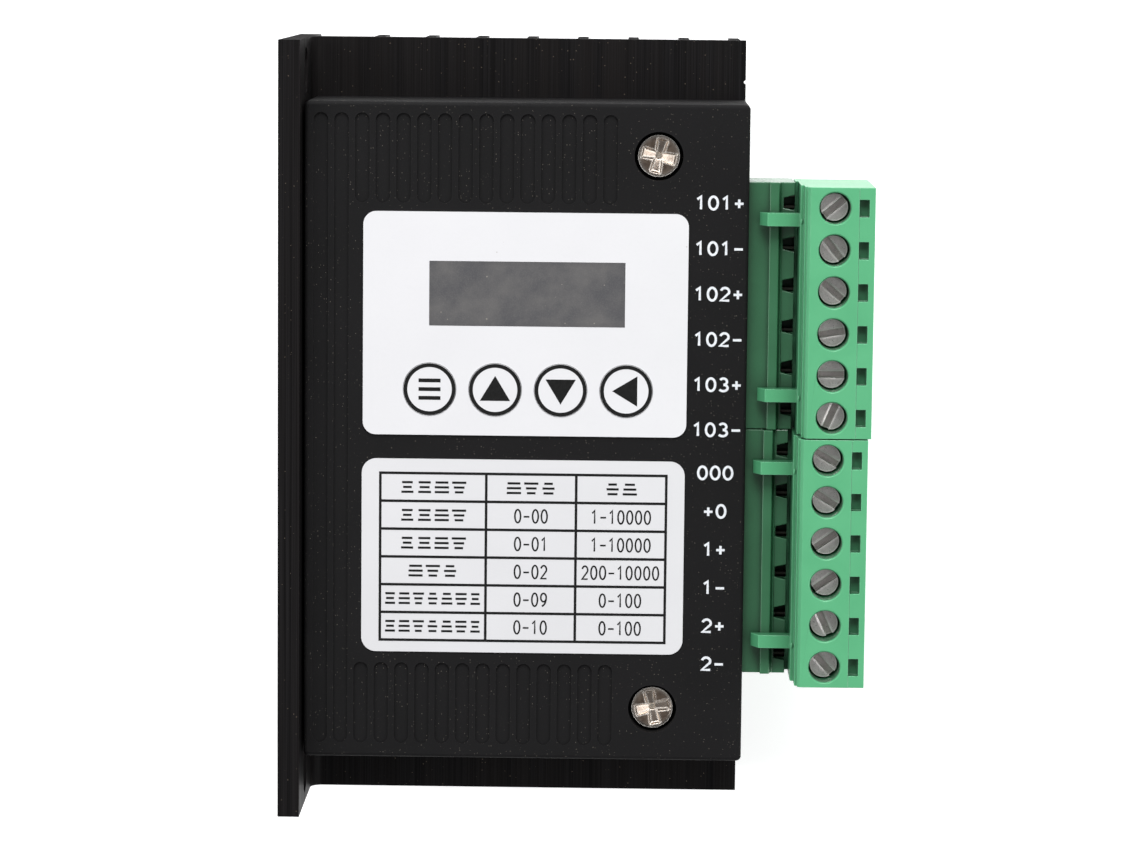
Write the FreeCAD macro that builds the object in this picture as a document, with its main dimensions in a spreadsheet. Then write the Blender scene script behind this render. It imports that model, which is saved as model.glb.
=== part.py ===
import FreeCAD, Part
import math
import os

import Sketcher

# Stepper driver module: a finned heat sink whose flange bolts to a panel, a moulded cover with a
# keypad and a display, and two pluggable screw-terminal blocks along the right-hand side.
#
# The unit lies on its fin tips.  +Z points out of the cover's face, +Y runs along the heat sink
# and +X points from the mounting flange to the terminals.  Stations along X are counted from the
# flange's outer face; the origin is the centre of the footprint, at the level of the fin tips.

DIMENSIONS = [
    # whole unit
    ("overall_width", 72.3, "flange outer face to the wire side of the signal plug"),
    ("unit_length", 95.8, "heat sink length"),
    ("board_top", 18.7, "level of the main board's upper face"),
    ("board_thickness", 1.6, "main board"),
    # heat sink
    ("flange_thickness", 2.65, "mounting flange"),
    ("flange_height", 33.0, "mounting flange"),
    ("flange_fillet", 1.5, "inside corner between flange and base"),
    ("base_front", 14.1, "level of the base's upper face"),
    ("base_thickness", 3.1, "heat sink base"),
    ("base_right", 57.15, "station of the base's free edge"),
    ("fin_count", 8, "cooling fins"),
    ("fin_first", 10.9, "station of the first fin"),
    ("fin_pitch", 6.42, "fin spacing"),
    ("fin_thickness", 1.3, "cooling fin"),
    ("slot_spacing", 88.0, "mounting slots, centre to centre"),
    ("slot_level", 23.8, "mounting slots above the fin tips"),
    ("slot_width", 4.2, "mounting slot"),
    ("slot_length", 5.6, "mounting slot, end to end"),
    ("notch_station_y", 42.7, "locating notch in the free edge"),
    ("notch_diameter", 0.5, "locating notch"),
    ("tap_diameter", 3.0, "tapped holes in the base"),
    # fasteners between heat sink, board and cover
    ("left_screw_x", 14.1, "station of the board screws"),
    ("right_screw_x", 46.25, "station of the cover screws"),
    ("upper_screw_y", 34.1, "upper pair of screws"),
    ("lower_screw_y", -34.4, "lower pair of screws"),
    ("shank_diameter", 2.9, "cover and board screws"),
    ("screw_head_diameter", 5.15, "cover and board screws"),
    ("screw_head_height", 1.9, "cover and board screws"),
    ("screw_head_round", 0.6, "bevel round the head"),
    ("cross_length", 4.2, "cross recess"),
    ("cross_width", 0.95, "cross recess"),
    ("cross_depth", 1.2, "cross recess"),
    ("screw_clearance", 3.2, "clearance holes"),
    ("standoff_diameter", 5.5, "spacers under the board"),
    ("screw_end_level", 11.5, "level of the screw ends"),
    # cover
    ("cover_left", 2.95, "station of the cover's flange side"),
    ("cover_right", 57.35, "station of the cover's terminal side"),
    ("cover_low", -40.87, "lower end of the cover"),
    ("cover_high", 40.48, "upper end of the cover"),
    ("cover_face", 29.7, "level of the cover's front face"),
    ("cover_wall", 1.6, "cover wall"),
    ("cover_corner", 0.6, "upright outside corners"),
    ("cover_edge", 0.5, "rounding round the front face"),
    ("foot_relief", 1.9, "bevel that clears the flange fillet"),
    ("foot_ledge", 0.5, "extra thickness of the wall above that bevel"),
    ("opening_low", -30.45, "lower end of the terminal opening"),
    ("opening_high", 31.45, "upper end of the terminal opening"),
    ("opening_top", 27.9, "top of the terminal opening"),
    ("opening_depth", 2.1, "terminal opening, through the wall"),
    ("counterbore_diameter", 6.0, "cover screw wells"),
    ("counterbore_depth", 2.9, "cover screw wells"),
    ("pillar_diameter", 8.4, "pillars round the cover screws"),
    ("post_diameter", 2.8, "posts that hold the display board"),
    ("post_left_x", 14.6, "post station"),
    ("post_right_x", 46.4, "post station"),
    ("post_y", 12.5, "post position"),
    # grooves pressed into the cover's face
    ("groove_first", 4.96, "station of the first groove"),
    ("groove_pitch", 2.527, "groove spacing"),
    ("groove_radius", 0.9, "groove half width"),
    ("groove_depth", 0.3, "groove depth"),
    ("long_groove_count", 2, "full-length grooves"),
    ("long_groove_reach", 38.2, "end centres of the full-length grooves"),
    ("short_groove_count", 13, "short grooves at each end"),
    ("upper_groove_in", 29.0, "inner end centre, upper grooves"),
    ("lower_groove_in", -29.8, "inner end centre, lower grooves"),
    # keypad film, display window and table label
    ("film_thickness", 0.25, "keypad film"),
    ("film_left", 10.2, "keypad film"),
    ("film_right", 50.0, "keypad film"),
    ("film_low", -0.4, "keypad film"),
    ("film_high", 27.1, "keypad film"),
    ("film_corner", 1.6, "keypad film corners"),
    ("window_left", 18.31, "display window"),
    ("window_right", 42.31, "display window"),
    ("window_low", 13.11, "display window"),
    ("window_high", 21.07, "display window"),
    ("window_ledge", 0.5, "ledge the window is bonded to"),
    ("window_gap", 0.03, "gap round the window"),
    ("label_thickness", 0.15, "table label"),
    ("label_left", 10.1, "table label"),
    ("label_right", 49.9, "table label"),
    ("label_low", -27.5, "table label"),
    ("label_high", -3.4, "table label"),
    ("label_corner", 1.8, "table label corners"),
    # keys and their switches
    ("key_count", 4, "keys"),
    ("key_first", 18.41, "station of the first key"),
    ("key_pitch", 8.053, "key spacing"),
    ("key_y", 5.27, "key row"),
    ("key_diameter", 6.46, "key face"),
    ("key_gap", 0.06, "gap round each key"),
    ("key_rise", 0.35, "key face above the cover's face"),
    ("key_well_diameter", 6.9, "relief under each key"),
    ("key_well_depth", 0.6, "relief under each key"),
    ("pip_diameter", 2.8, "stem under each key"),
    ("pip_clearance", 0.08, "stem in its hole, radial"),
    ("switch_size", 6.0, "key switch body"),
    ("switch_height", 3.5, "key switch body"),
    ("plunger_diameter", 3.4, "key switch plunger"),
    ("plunger_clearance", 0.05, "plunger in its bore, radial"),
    ("plunger_rise", 1.0, "plunger above the switch body"),
    ("plunger_seat", 0.8, "plunger inside the switch body"),
    ("plunger_bore", 1.4, "bore in the switch body"),
    # display board
    ("ui_left", 12.5, "display board"),
    ("ui_right", 48.5, "display board"),
    ("ui_low", -1.0, "display board"),
    ("ui_high", 25.5, "display board"),
    ("ui_top", 22.4, "level of the display board's upper face"),
    ("ui_thickness", 1.2, "display board"),
    ("module_length", 25.4, "digit module"),
    ("module_width", 10.2, "digit module"),
    ("module_top", 27.9, "level of the digit module's face"),
    ("digit_count", 4, "digits"),
    ("digit_pitch", 5.7, "digit spacing"),
    ("digit_width", 3.3, "digit"),
    ("digit_height", 5.8, "digit"),
    ("segment_width", 0.6, "digit segment"),
    ("segment_height", 0.15, "digit segment above the module"),
    ("segment_gap", 0.12, "between segments"),
    ("connector_length", 10.2, "connector between the boards"),
    ("connector_width", 5.1, "connector between the boards"),
    ("connector_y", 22.0, "connector between the boards"),
    # main board
    ("board_left", 5.3, "main board"),
    ("board_right", 55.5, "main board"),
    ("board_low", -38.9, "main board"),
    ("board_high", 38.5, "main board"),
    ("pin_hole", 1.5, "plated holes for the header pins"),
    # terminal headers
    ("pole_count", 6, "poles in each block"),
    ("pole_pitch", 5.08, "pole spacing"),
    ("signal_y", 15.78, "middle of the signal block"),
    ("power_y", -14.8, "middle of the power block"),
    ("header_left", 51.0, "station of the header's back"),
    ("header_right", 63.0, "station of the header's mouth"),
    ("header_length", 30.48, "header"),
    ("header_height", 8.8, "header"),
    ("header_back", 1.8, "header back wall"),
    ("header_side", 0.72, "header end walls"),
    ("header_floor", 1.2, "header floor"),
    ("header_roof", 1.1, "header roof"),
    ("rib_left", 59.9, "latch rib on the roof"),
    ("rib_right", 61.05, "latch rib on the roof"),
    ("rib_slope", 0.28, "run of the latch rib's sloped side"),
    ("rib_height", 0.9, "latch rib on the roof"),
    ("mouth_notch_inner", 1.26, "notch over each pole, inner width"),
    ("mouth_notch_outer", 1.9, "notch over each pole, width at the mouth"),
    ("mouth_notch_depth", 1.4, "notch over each pole"),
    ("pin_size", 1.0, "square header pins"),
    ("pin_level", 23.1, "level of the header pins"),
    ("pin_back", 49.8, "station of the pins' legs"),
    ("pin_tip", 60.7, "station of the pin tips"),
    ("pin_end_level", 15.6, "level of the soldered ends"),
    ("pin_gap", 0.02, "gap round the pins in the header"),
    # terminal plugs, on stations shared with the headers
    ("power_push", 0.35, "how much deeper the power plug is pushed in"),
    ("plug_length", 30.44, "plug"),
    ("plug_left", 63.45, "station of the plug's shoulder"),
    ("plug_face_left", 64.15, "station of the upper wall"),
    ("plug_step_left", 63.85, "station of the step between shoulder and upper wall"),
    ("plug_step_top", 36.2, "level of that step"),
    ("plug_bevel", 0.35, "bevel along the top face's inner edge"),
    ("plug_lip", 70.36, "station where the top face steps down"),
    ("plug_lip_height", 0.06, "that step"),
    ("plug_edge", 0.15, "bevel round the screw wells"),
    ("plug_right", 72.3, "station of the wire side"),
    ("plug_bottom", 20.2, "level of the plug's underside"),
    ("plug_top", 37.2, "level of the plug's top face"),
    ("shoulder_top", 33.0, "level of the shoulder under the top face"),
    ("nose_left", 54.4, "station of the nose tip"),
    ("nose_length", 28.6, "nose that enters the header"),
    ("nose_bottom", 20.1, "level of the nose's underside"),
    ("nose_top", 26.2, "level of the nose's upper side"),
    ("nose_step", 61.3, "station where the nose steps down at its root"),
    ("nose_step_top", 25.3, "level of the nose's root"),
    ("plug_foot_left", 63.08, "station of the block below that level"),
    ("arm_spacing", 21.6, "latch arms, centre to centre"),
    ("arm_width", 1.6, "latch arm"),
    ("arm_bottom", 28.5, "level of the latch arm's underside"),
    ("arm_top", 30.5, "level of the latch arm's upper side"),
    ("arm_ramp", 59.58, "station where the arm's ramp begins"),
    ("arm_tip", 58.7, "station of the arm's tip"),
    ("arm_tip_height", 0.3, "latch arm at its tip"),
    ("root_overlap", 0.3, "how far nose, arms and channels run into the block"),
    ("screw_x", 67.45, "station of the terminal screws"),
    ("screw_well_diameter", 3.78, "well round each terminal screw"),
    ("screw_seat", 33.0, "level of the seat under each screw head"),
    ("stem_clearance", 0.07, "screw stem in its holes, radial"),
    ("cage_pocket_length", 4.6, "pocket for a clamp cage, along X"),
    ("cage_pocket_width", 4.2, "pocket for a clamp cage, along Y"),
    ("cage_pocket_bottom", 21.8, "pocket for a clamp cage"),
    ("cage_pocket_top", 32.2, "pocket for a clamp cage"),
    ("probe_x", 70.96, "station of the test holes"),
    ("probe_length", 1.2, "test hole, along X"),
    ("probe_width", 2.1, "test hole, along Y"),
    ("probe_depth", 1.3, "test hole"),
    ("entry_width", 3.6, "wire entry"),
    ("entry_bottom", 22.9, "wire entry"),
    ("entry_top", 26.0, "wire entry"),
    ("funnel_width", 4.3, "flare of the wire entry"),
    ("funnel_depth", 0.8, "flare of the wire entry"),
    ("funnel_margin", 0.5, "flare above and below the wire entry"),
    ("channel_width", 2.6, "channel for a contact"),
    ("channel_bottom", 21.5, "channel for a contact"),
    ("channel_top", 24.8, "channel for a contact"),
    ("web_channel_left", 63.9, "station where the channel opens upwards"),
    ("web_channel_top", 26.9, "channel behind the nose"),
    # contacts in the plugs
    ("bar_right", 69.5, "station of the current bar's end"),
    ("bar_bottom", 25.9, "level of the current bar"),
    ("bar_thickness", 0.8, "current bar"),
    ("bar_width", 2.2, "current bar"),
    ("web_left", 64.2, "station of the contact's web"),
    ("web_thickness", 0.7, "contact web"),
    ("blade_left", 55.4, "station of the blade tips"),
    ("blade_height", 1.6, "contact blade"),
    ("blade_thickness", 0.3, "contact blade"),
    ("blade_gap", 0.06, "blade to pin"),
    # terminal screws and clamp cages
    ("terminal_head_diameter", 3.3, "terminal screw"),
    ("terminal_head_height", 1.6, "terminal screw"),
    ("terminal_head_bevel", 0.15, "terminal screw"),
    ("terminal_stem_diameter", 2.6, "terminal screw"),
    ("terminal_stem_end", 27.1, "level of the stem's end"),
    ("terminal_slot_width", 0.84, "terminal screw"),
    ("terminal_slot_depth", 0.9, "terminal screw"),
    ("cage_length", 4.2, "clamp cage, along X"),
    ("cage_width", 4.0, "clamp cage, along Y"),
    ("cage_bottom", 22.0, "level of the cage's underside, clamp open"),
    ("cage_height", 7.4, "clamp cage"),
    ("cage_wall", 0.7, "clamp cage side walls"),
    ("cage_floor", 1.0, "clamp cage floor"),
    ("cage_roof", 1.8, "clamp cage threaded roof"),
    # parts on the main board
    ("chip_size", 10.0, "controller chip"),
    ("chip_height", 1.4, "controller chip"),
    ("chip_x", 20.0, "controller chip"),
    ("chip_y", 12.0, "controller chip"),
    ("driver_length", 15.0, "power driver chip"),
    ("driver_width", 11.0, "power driver chip"),
    ("driver_x", 27.0, "power driver chip"),
    ("driver_y", -18.0, "power driver chip"),
    ("pad_thickness", 0.6, "thermal pad"),
    ("capacitor_diameter", 10.0, "bulk capacitors"),
    ("capacitor_height", 8.4, "bulk capacitors"),
    ("capacitor_count", 2, "bulk capacitors"),
    ("capacitor_first_x", 22.0, "bulk capacitors"),
    ("capacitor_pitch", 12.5, "bulk capacitors"),
    ("capacitor_y", -22.0, "bulk capacitors"),
    ("capacitor_foot", 0.8, "square foot of each capacitor"),
    ("opto_length", 4.6, "opto-isolators"),
    ("opto_width", 6.5, "opto-isolators"),
    ("opto_height", 2.0, "opto-isolators"),
    ("opto_x", 43.0, "opto-isolators"),
    ("opto_first_y", 5.0, "opto-isolators"),
    ("opto_pitch", 8.4, "opto-isolators"),
    ("opto_count", 3, "opto-isolators"),
]

KEY_NAMES = ("menu", "up", "down", "left")

# How far each terminal screw is turned, in degrees, from the upper end of the row to the lower.
SCREW_TURNS = (40, -52, -40, 10, 0, 67, -30, -33, 35, 35, -65, -48)
COVER_SCREW_TURNS = (-13, 12)
BOARD_SCREW_TURNS = (25, 60)

doc = FreeCAD.newDocument("stepper_driver_module")
sheet = doc.addObject("Spreadsheet::Sheet", "Dim")
VALUES = {}
for row, (alias, number, note) in enumerate(DIMENSIONS, start=1):
    sheet.set("A%d" % row, alias)
    sheet.set("B%d" % row, str(number))
    sheet.set("C%d" % row, note)
    sheet.setAlias("B%d" % row, alias)
    VALUES[alias] = number
doc.recompute()

NODES = []


# ---------------------------------------------------------------- helpers

def dim(alias):
    """Formula that reads one cell of the sheet."""
    return "Dim." + alias


def place(obj, x="0", y="0", z="0", turn=0.0):
    """Put a sub-part at a station, with its turn about Z, and bind its position to the sheet."""
    obj.Placement = FreeCAD.Placement(
        FreeCAD.Vector(0, 0, 0), FreeCAD.Rotation(FreeCAD.Vector(0, 0, 1), turn))
    obj.setExpression("Placement.Base.x", "%s - Dim.overall_width / 2" % x)
    obj.setExpression("Placement.Base.y", y)
    obj.setExpression("Placement.Base.z", z)


def new_body(label, x="0", y="0", z="0", turn=0.0):
    """A PartDesign body that becomes one node."""
    body = doc.addObject("PartDesign::Body", label)
    body.Label = label
    place(body, x, y, z, turn)
    NODES.append(body)
    return body


def new_sketch(body, name, role, level="0"):
    """Sketch on one of the body's origin planes, raised along the plane's normal."""
    plane = next(f for f in body.Origin.OriginFeatures if f.Role == role)
    sketch = body.newObject("Sketcher::SketchObject", name)
    sketch.AttachmentSupport = (plane, [""])
    sketch.MapMode = "FlatFace"
    sketch.setExpression("AttachmentOffset.Base.z", level)
    sketch.Visibility = False
    return sketch


def bind(sketch, constraint, formula):
    """Add a dimension to a sketch and bind it to a formula."""
    index = sketch.addConstraint(constraint)
    sketch.setExpression("Constraints[%d]" % index, formula)


def pin_point(sketch, geometry, end, start, x, y):
    """Fix one point of a sketch at two formulas measured from the sketch's origin."""
    bind(sketch, Sketcher.Constraint("DistanceX", -1, 1, geometry, end, start.x), x)
    bind(sketch, Sketcher.Constraint("DistanceY", -1, 1, geometry, end, start.y), y)


def polygon_sketch(body, name, role, corners, level="0"):
    """Closed outline through corners given as pairs of formulas."""
    sketch = new_sketch(body, name, role, level)
    count = len(corners)
    angles = [2 * math.pi * i / count for i in range(count)]
    starts = [FreeCAD.Vector(2 + math.cos(a), 2 + math.sin(a), 0) for a in angles]
    for i in range(count):
        sketch.addGeometry(Part.LineSegment(starts[i], starts[(i + 1) % count]), False)
    for i in range(count):
        sketch.addConstraint(Sketcher.Constraint("Coincident", i, 2, (i + 1) % count, 1))
    for i, (x, y) in enumerate(corners):
        pin_point(sketch, i, 1, starts[i], x, y)
    return sketch


def rectangle(left, right, low, high):
    """Four corners of a rectangle, as formulas."""
    return ((left, low), (right, low), (right, high), (left, high))


def centred(width, height, x="0", y="0"):
    """Four corners of a rectangle round a centre."""
    return rectangle("%s - %s / 2" % (x, width), "%s + %s / 2" % (x, width),
                     "%s - %s / 2" % (y, height), "%s + %s / 2" % (y, height))


def circle_sketch(body, name, role, centres, diameter, level="0"):
    """Equal circles round centres given as pairs of formulas."""
    sketch = new_sketch(body, name, role, level)
    radius = 1.0
    for i, (x, y) in enumerate(centres, start=1):
        start = FreeCAD.Vector(5 * radius * i, radius, 0)
        index = sketch.addGeometry(Part.Circle(start, FreeCAD.Vector(0, 0, 1), radius), False)
        pin_point(sketch, index, 3, start, x, y)
        bind(sketch, Sketcher.Constraint("Diameter", index, 2 * radius), diameter)
    return sketch


def obround_sketch(body, name, role, ends, radius, level="0"):
    """Slot outline between two end centres that share the outline's long axis."""
    (x_a, y_a), (x_b, y_b) = ends
    upright = x_a == x_b
    sketch = new_sketch(body, name, role, level)
    start_a = FreeCAD.Vector(1, 1, 0)
    reach = FreeCAD.Vector(0, 5, 0) if upright else FreeCAD.Vector(5, 0, 0)
    start_b = start_a + reach
    side = FreeCAD.Vector(1, 0, 0) if upright else FreeCAD.Vector(0, -1, 0)
    normal = FreeCAD.Vector(0, 0, 1)
    turn = 0 if upright else -math.pi / 2
    far_arc = Part.ArcOfCircle(Part.Circle(start_b, normal, 1), turn, turn + math.pi)
    near_arc = Part.ArcOfCircle(Part.Circle(start_a, normal, 1), turn + math.pi, turn + 2 * math.pi)
    sketch.addGeometry(far_arc, False)
    sketch.addGeometry(near_arc, False)
    sketch.addGeometry(Part.LineSegment(start_b - side, start_a - side), False)
    sketch.addGeometry(Part.LineSegment(start_a + side, start_b + side), False)
    for first, first_end, second, second_end in ((0, 2, 2, 1), (2, 2, 1, 1), (1, 2, 3, 1), (3, 2, 0, 1)):
        sketch.addConstraint(Sketcher.Constraint("Tangent", first, first_end, second, second_end))
    sketch.addConstraint(Sketcher.Constraint("Equal", 0, 1))
    pin_point(sketch, 0, 3, start_b, x_b, y_b)
    pin_point(sketch, 1, 3, start_a, x_a, y_a)
    bind(sketch, Sketcher.Constraint("Radius", 0, 1.0), radius)
    return sketch


def extrude(body, kind, name, sketch, length):
    """Pad or Pocket of a sketch; pads grow along the sketch's normal, pockets cut against it."""
    feature = body.newObject("PartDesign::" + kind, name)
    feature.Profile = sketch
    feature.setExpression("Length", length)
    return feature


def pad(body, name, sketch, length):
    return extrude(body, "Pad", name, sketch, length)


def pocket(body, name, sketch, length):
    return extrude(body, "Pocket", name, sketch, length)


def revolve(body, name, sketch):
    """Full turn of a sketch about its own upright axis."""
    feature = body.newObject("PartDesign::Revolution", name)
    feature.Profile = sketch
    feature.ReferenceAxis = (sketch, ["V_Axis"])
    feature.Angle = 360.0
    return feature


def repeat(body, name, originals, axis, length, count):
    """Linear pattern of features along an axis of the first feature's sketch."""
    pattern = body.newObject("PartDesign::LinearPattern", name)
    pattern.Originals = originals
    pattern.Direction = (originals[0].Profile[0], [axis])
    pattern.setExpression("Length", length)
    pattern.setExpression("Occurrences", count)
    body.Tip = pattern
    return pattern


def round_edges(body, name, base, radius, wanted, kind="Fillet"):
    """Fillet or chamfer the edges of a feature that pass a test."""
    doc.recompute()
    edges = ["Edge%d" % (i + 1) for i, edge in enumerate(base.Shape.Edges) if wanted(edge)]
    feature = body.newObject("PartDesign::" + kind, name)
    feature.Base = (base, edges)
    feature.setExpression("Radius" if kind == "Fillet" else "Size", radius)
    return feature


def is_upright(edge):
    """True for a straight edge parallel to Z."""
    ends = [v.Point for v in edge.Vertexes]
    return len(ends) == 2 and (ends[1] - ends[0]).cross(FreeCAD.Vector(0, 0, 1)).Length < 1e-6


def lies_at(edge, axis, number):
    """True where the whole edge lies at one coordinate."""
    return all(abs(getattr(v.Point, axis) - number) < 1e-6 for v in edge.Vertexes)


def is_round(edge, radius):
    """True for a full circle or an arc of one radius."""
    curve = edge.Curve
    return curve.TypeId == "Part::GeomCircle" and abs(curve.Radius - radius) < 1e-6


def box(name, left, right, low, high, bottom, top):
    """Part::Box between six formulas."""
    solid = doc.addObject("Part::Box", name)
    solid.setExpression("Length", "%s - (%s)" % (right, left))
    solid.setExpression("Width", "%s - (%s)" % (high, low))
    solid.setExpression("Height", "%s - (%s)" % (top, bottom))
    solid.setExpression("Placement.Base.x", left)
    solid.setExpression("Placement.Base.y", low)
    solid.setExpression("Placement.Base.z", bottom)
    return solid


def cylinder(name, x, y, bottom, top, radius):
    """Part::Cylinder along Z."""
    solid = doc.addObject("Part::Cylinder", name)
    solid.setExpression("Radius", radius)
    solid.setExpression("Height", "%s - (%s)" % (top, bottom))
    solid.setExpression("Placement.Base.x", x)
    solid.setExpression("Placement.Base.y", y)
    solid.setExpression("Placement.Base.z", bottom)
    return solid


def cut(name, base, tool):
    result = doc.addObject("Part::Cut", name)
    result.Base = base
    result.Tool = tool
    return result


def fuse(name, solids):
    result = doc.addObject("Part::MultiFuse", name)
    result.Shapes = solids
    return result


def group(label, solids, x="0", y="0", z="0"):
    """One node made of several separate solids."""
    node = doc.addObject("Part::Compound", label)
    node.Label = label
    node.Links = solids
    place(node, x, y, z)
    NODES.append(node)
    return node


def single(label, solid, x="0", y="0", z="0"):
    """One node made of one solid built from Part primitives."""
    return group(label, [solid], x, y, z)


def pole_position(index):
    """Formula for the position of one pole, counted from the block's lower end."""
    return "(%d - (Dim.pole_count - 1) / 2) * Dim.pole_pitch" % index


# ---------------------------------------------------------------- heat sink and cover

SCREW_CENTRES = [(dim(x), dim(y)) for x in ("left_screw_x", "right_screw_x")
                 for y in ("upper_screw_y", "lower_screw_y")]
COVER_SCREW_CENTRES = SCREW_CENTRES[2:]
BOARD_SCREW_CENTRES = SCREW_CENTRES[:2]


def symmetric_pad(body, name, sketch, length):
    """Pad that grows equally to both sides of its sketch."""
    feature = pad(body, name, sketch, length)
    feature.SideType = "Symmetric"
    return feature


def make_heatsink():
    body = new_body("heatsink")
    flange = polygon_sketch(body, "FlangeProfile", "XZ_Plane",
                            rectangle("0", dim("flange_thickness"), "0", dim("flange_height")))
    symmetric_pad(body, "Flange", flange, dim("unit_length"))
    base = polygon_sketch(body, "BaseProfile", "XZ_Plane",
                          rectangle("0", dim("base_right"), "Dim.base_front - Dim.base_thickness",
                                    dim("base_front")))
    plate = symmetric_pad(body, "BasePlate", base, dim("unit_length"))
    corner = round_edges(
        body, "FlangeFillet", plate, dim("flange_fillet"),
        lambda e: lies_at(e, "x", VALUES["flange_thickness"]) and lies_at(e, "z", VALUES["base_front"]))
    body.Tip = corner
    fin = polygon_sketch(body, "FinProfile", "XZ_Plane",
                         rectangle("Dim.fin_first - Dim.fin_thickness / 2",
                                   "Dim.fin_first + Dim.fin_thickness / 2",
                                   "0", "Dim.base_front - Dim.base_thickness / 2"))
    first_fin = symmetric_pad(body, "Fin", fin, dim("unit_length"))
    repeat(body, "Fins", [first_fin], "H_Axis", "Dim.fin_pitch * (Dim.fin_count - 1)", dim("fin_count"))
    reach = "(Dim.slot_length - Dim.slot_width) / 2"
    slot = obround_sketch(body, "SlotOutline", "YZ_Plane",
                          (("-Dim.slot_spacing / 2 - %s" % reach, dim("slot_level")),
                           ("-Dim.slot_spacing / 2 + %s" % reach, dim("slot_level"))),
                          "Dim.slot_width / 2", dim("flange_thickness"))
    first_slot = pocket(body, "MountingSlot", slot, dim("flange_thickness"))
    repeat(body, "MountingSlots", [first_slot], "H_Axis", dim("slot_spacing"), "2")
    taps = circle_sketch(body, "TappedHoles", "XY_Plane", SCREW_CENTRES, dim("tap_diameter"),
                         dim("base_front"))
    pocket(body, "Taps", taps, dim("base_thickness"))
    notch = circle_sketch(body, "NotchOutline", "XY_Plane",
                          [(dim("base_right"), dim("notch_station_y"))],
                          dim("notch_diameter"), dim("base_front"))
    body.Tip = pocket(body, "EdgeNotch", notch, dim("base_front"))


def cut_face_grooves(body):
    """Rows of shallow grooves in the cover's face: two long ones and two rows of short ones."""
    short_first = "Dim.groove_first + Dim.groove_pitch * Dim.long_groove_count"
    rows = (
        ("Long", dim("groove_first"), "-Dim.long_groove_reach", dim("long_groove_reach"),
         dim("long_groove_count")),
        ("Upper", short_first, dim("upper_groove_in"), dim("long_groove_reach"),
         dim("short_groove_count")),
        ("Lower", short_first, "-Dim.long_groove_reach", dim("lower_groove_in"),
         dim("short_groove_count")),
    )
    for name, station, low, high, count in rows:
        outline = obround_sketch(body, name + "GrooveOutline", "XY_Plane",
                                 ((station, low), (station, high)),
                                 dim("groove_radius"), dim("cover_face"))
        groove = pocket(body, name + "Groove", outline, dim("groove_depth"))
        repeat(body, name + "Grooves", [groove], "H_Axis",
               "Dim.groove_pitch * (%s - 1)" % count, count)


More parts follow.
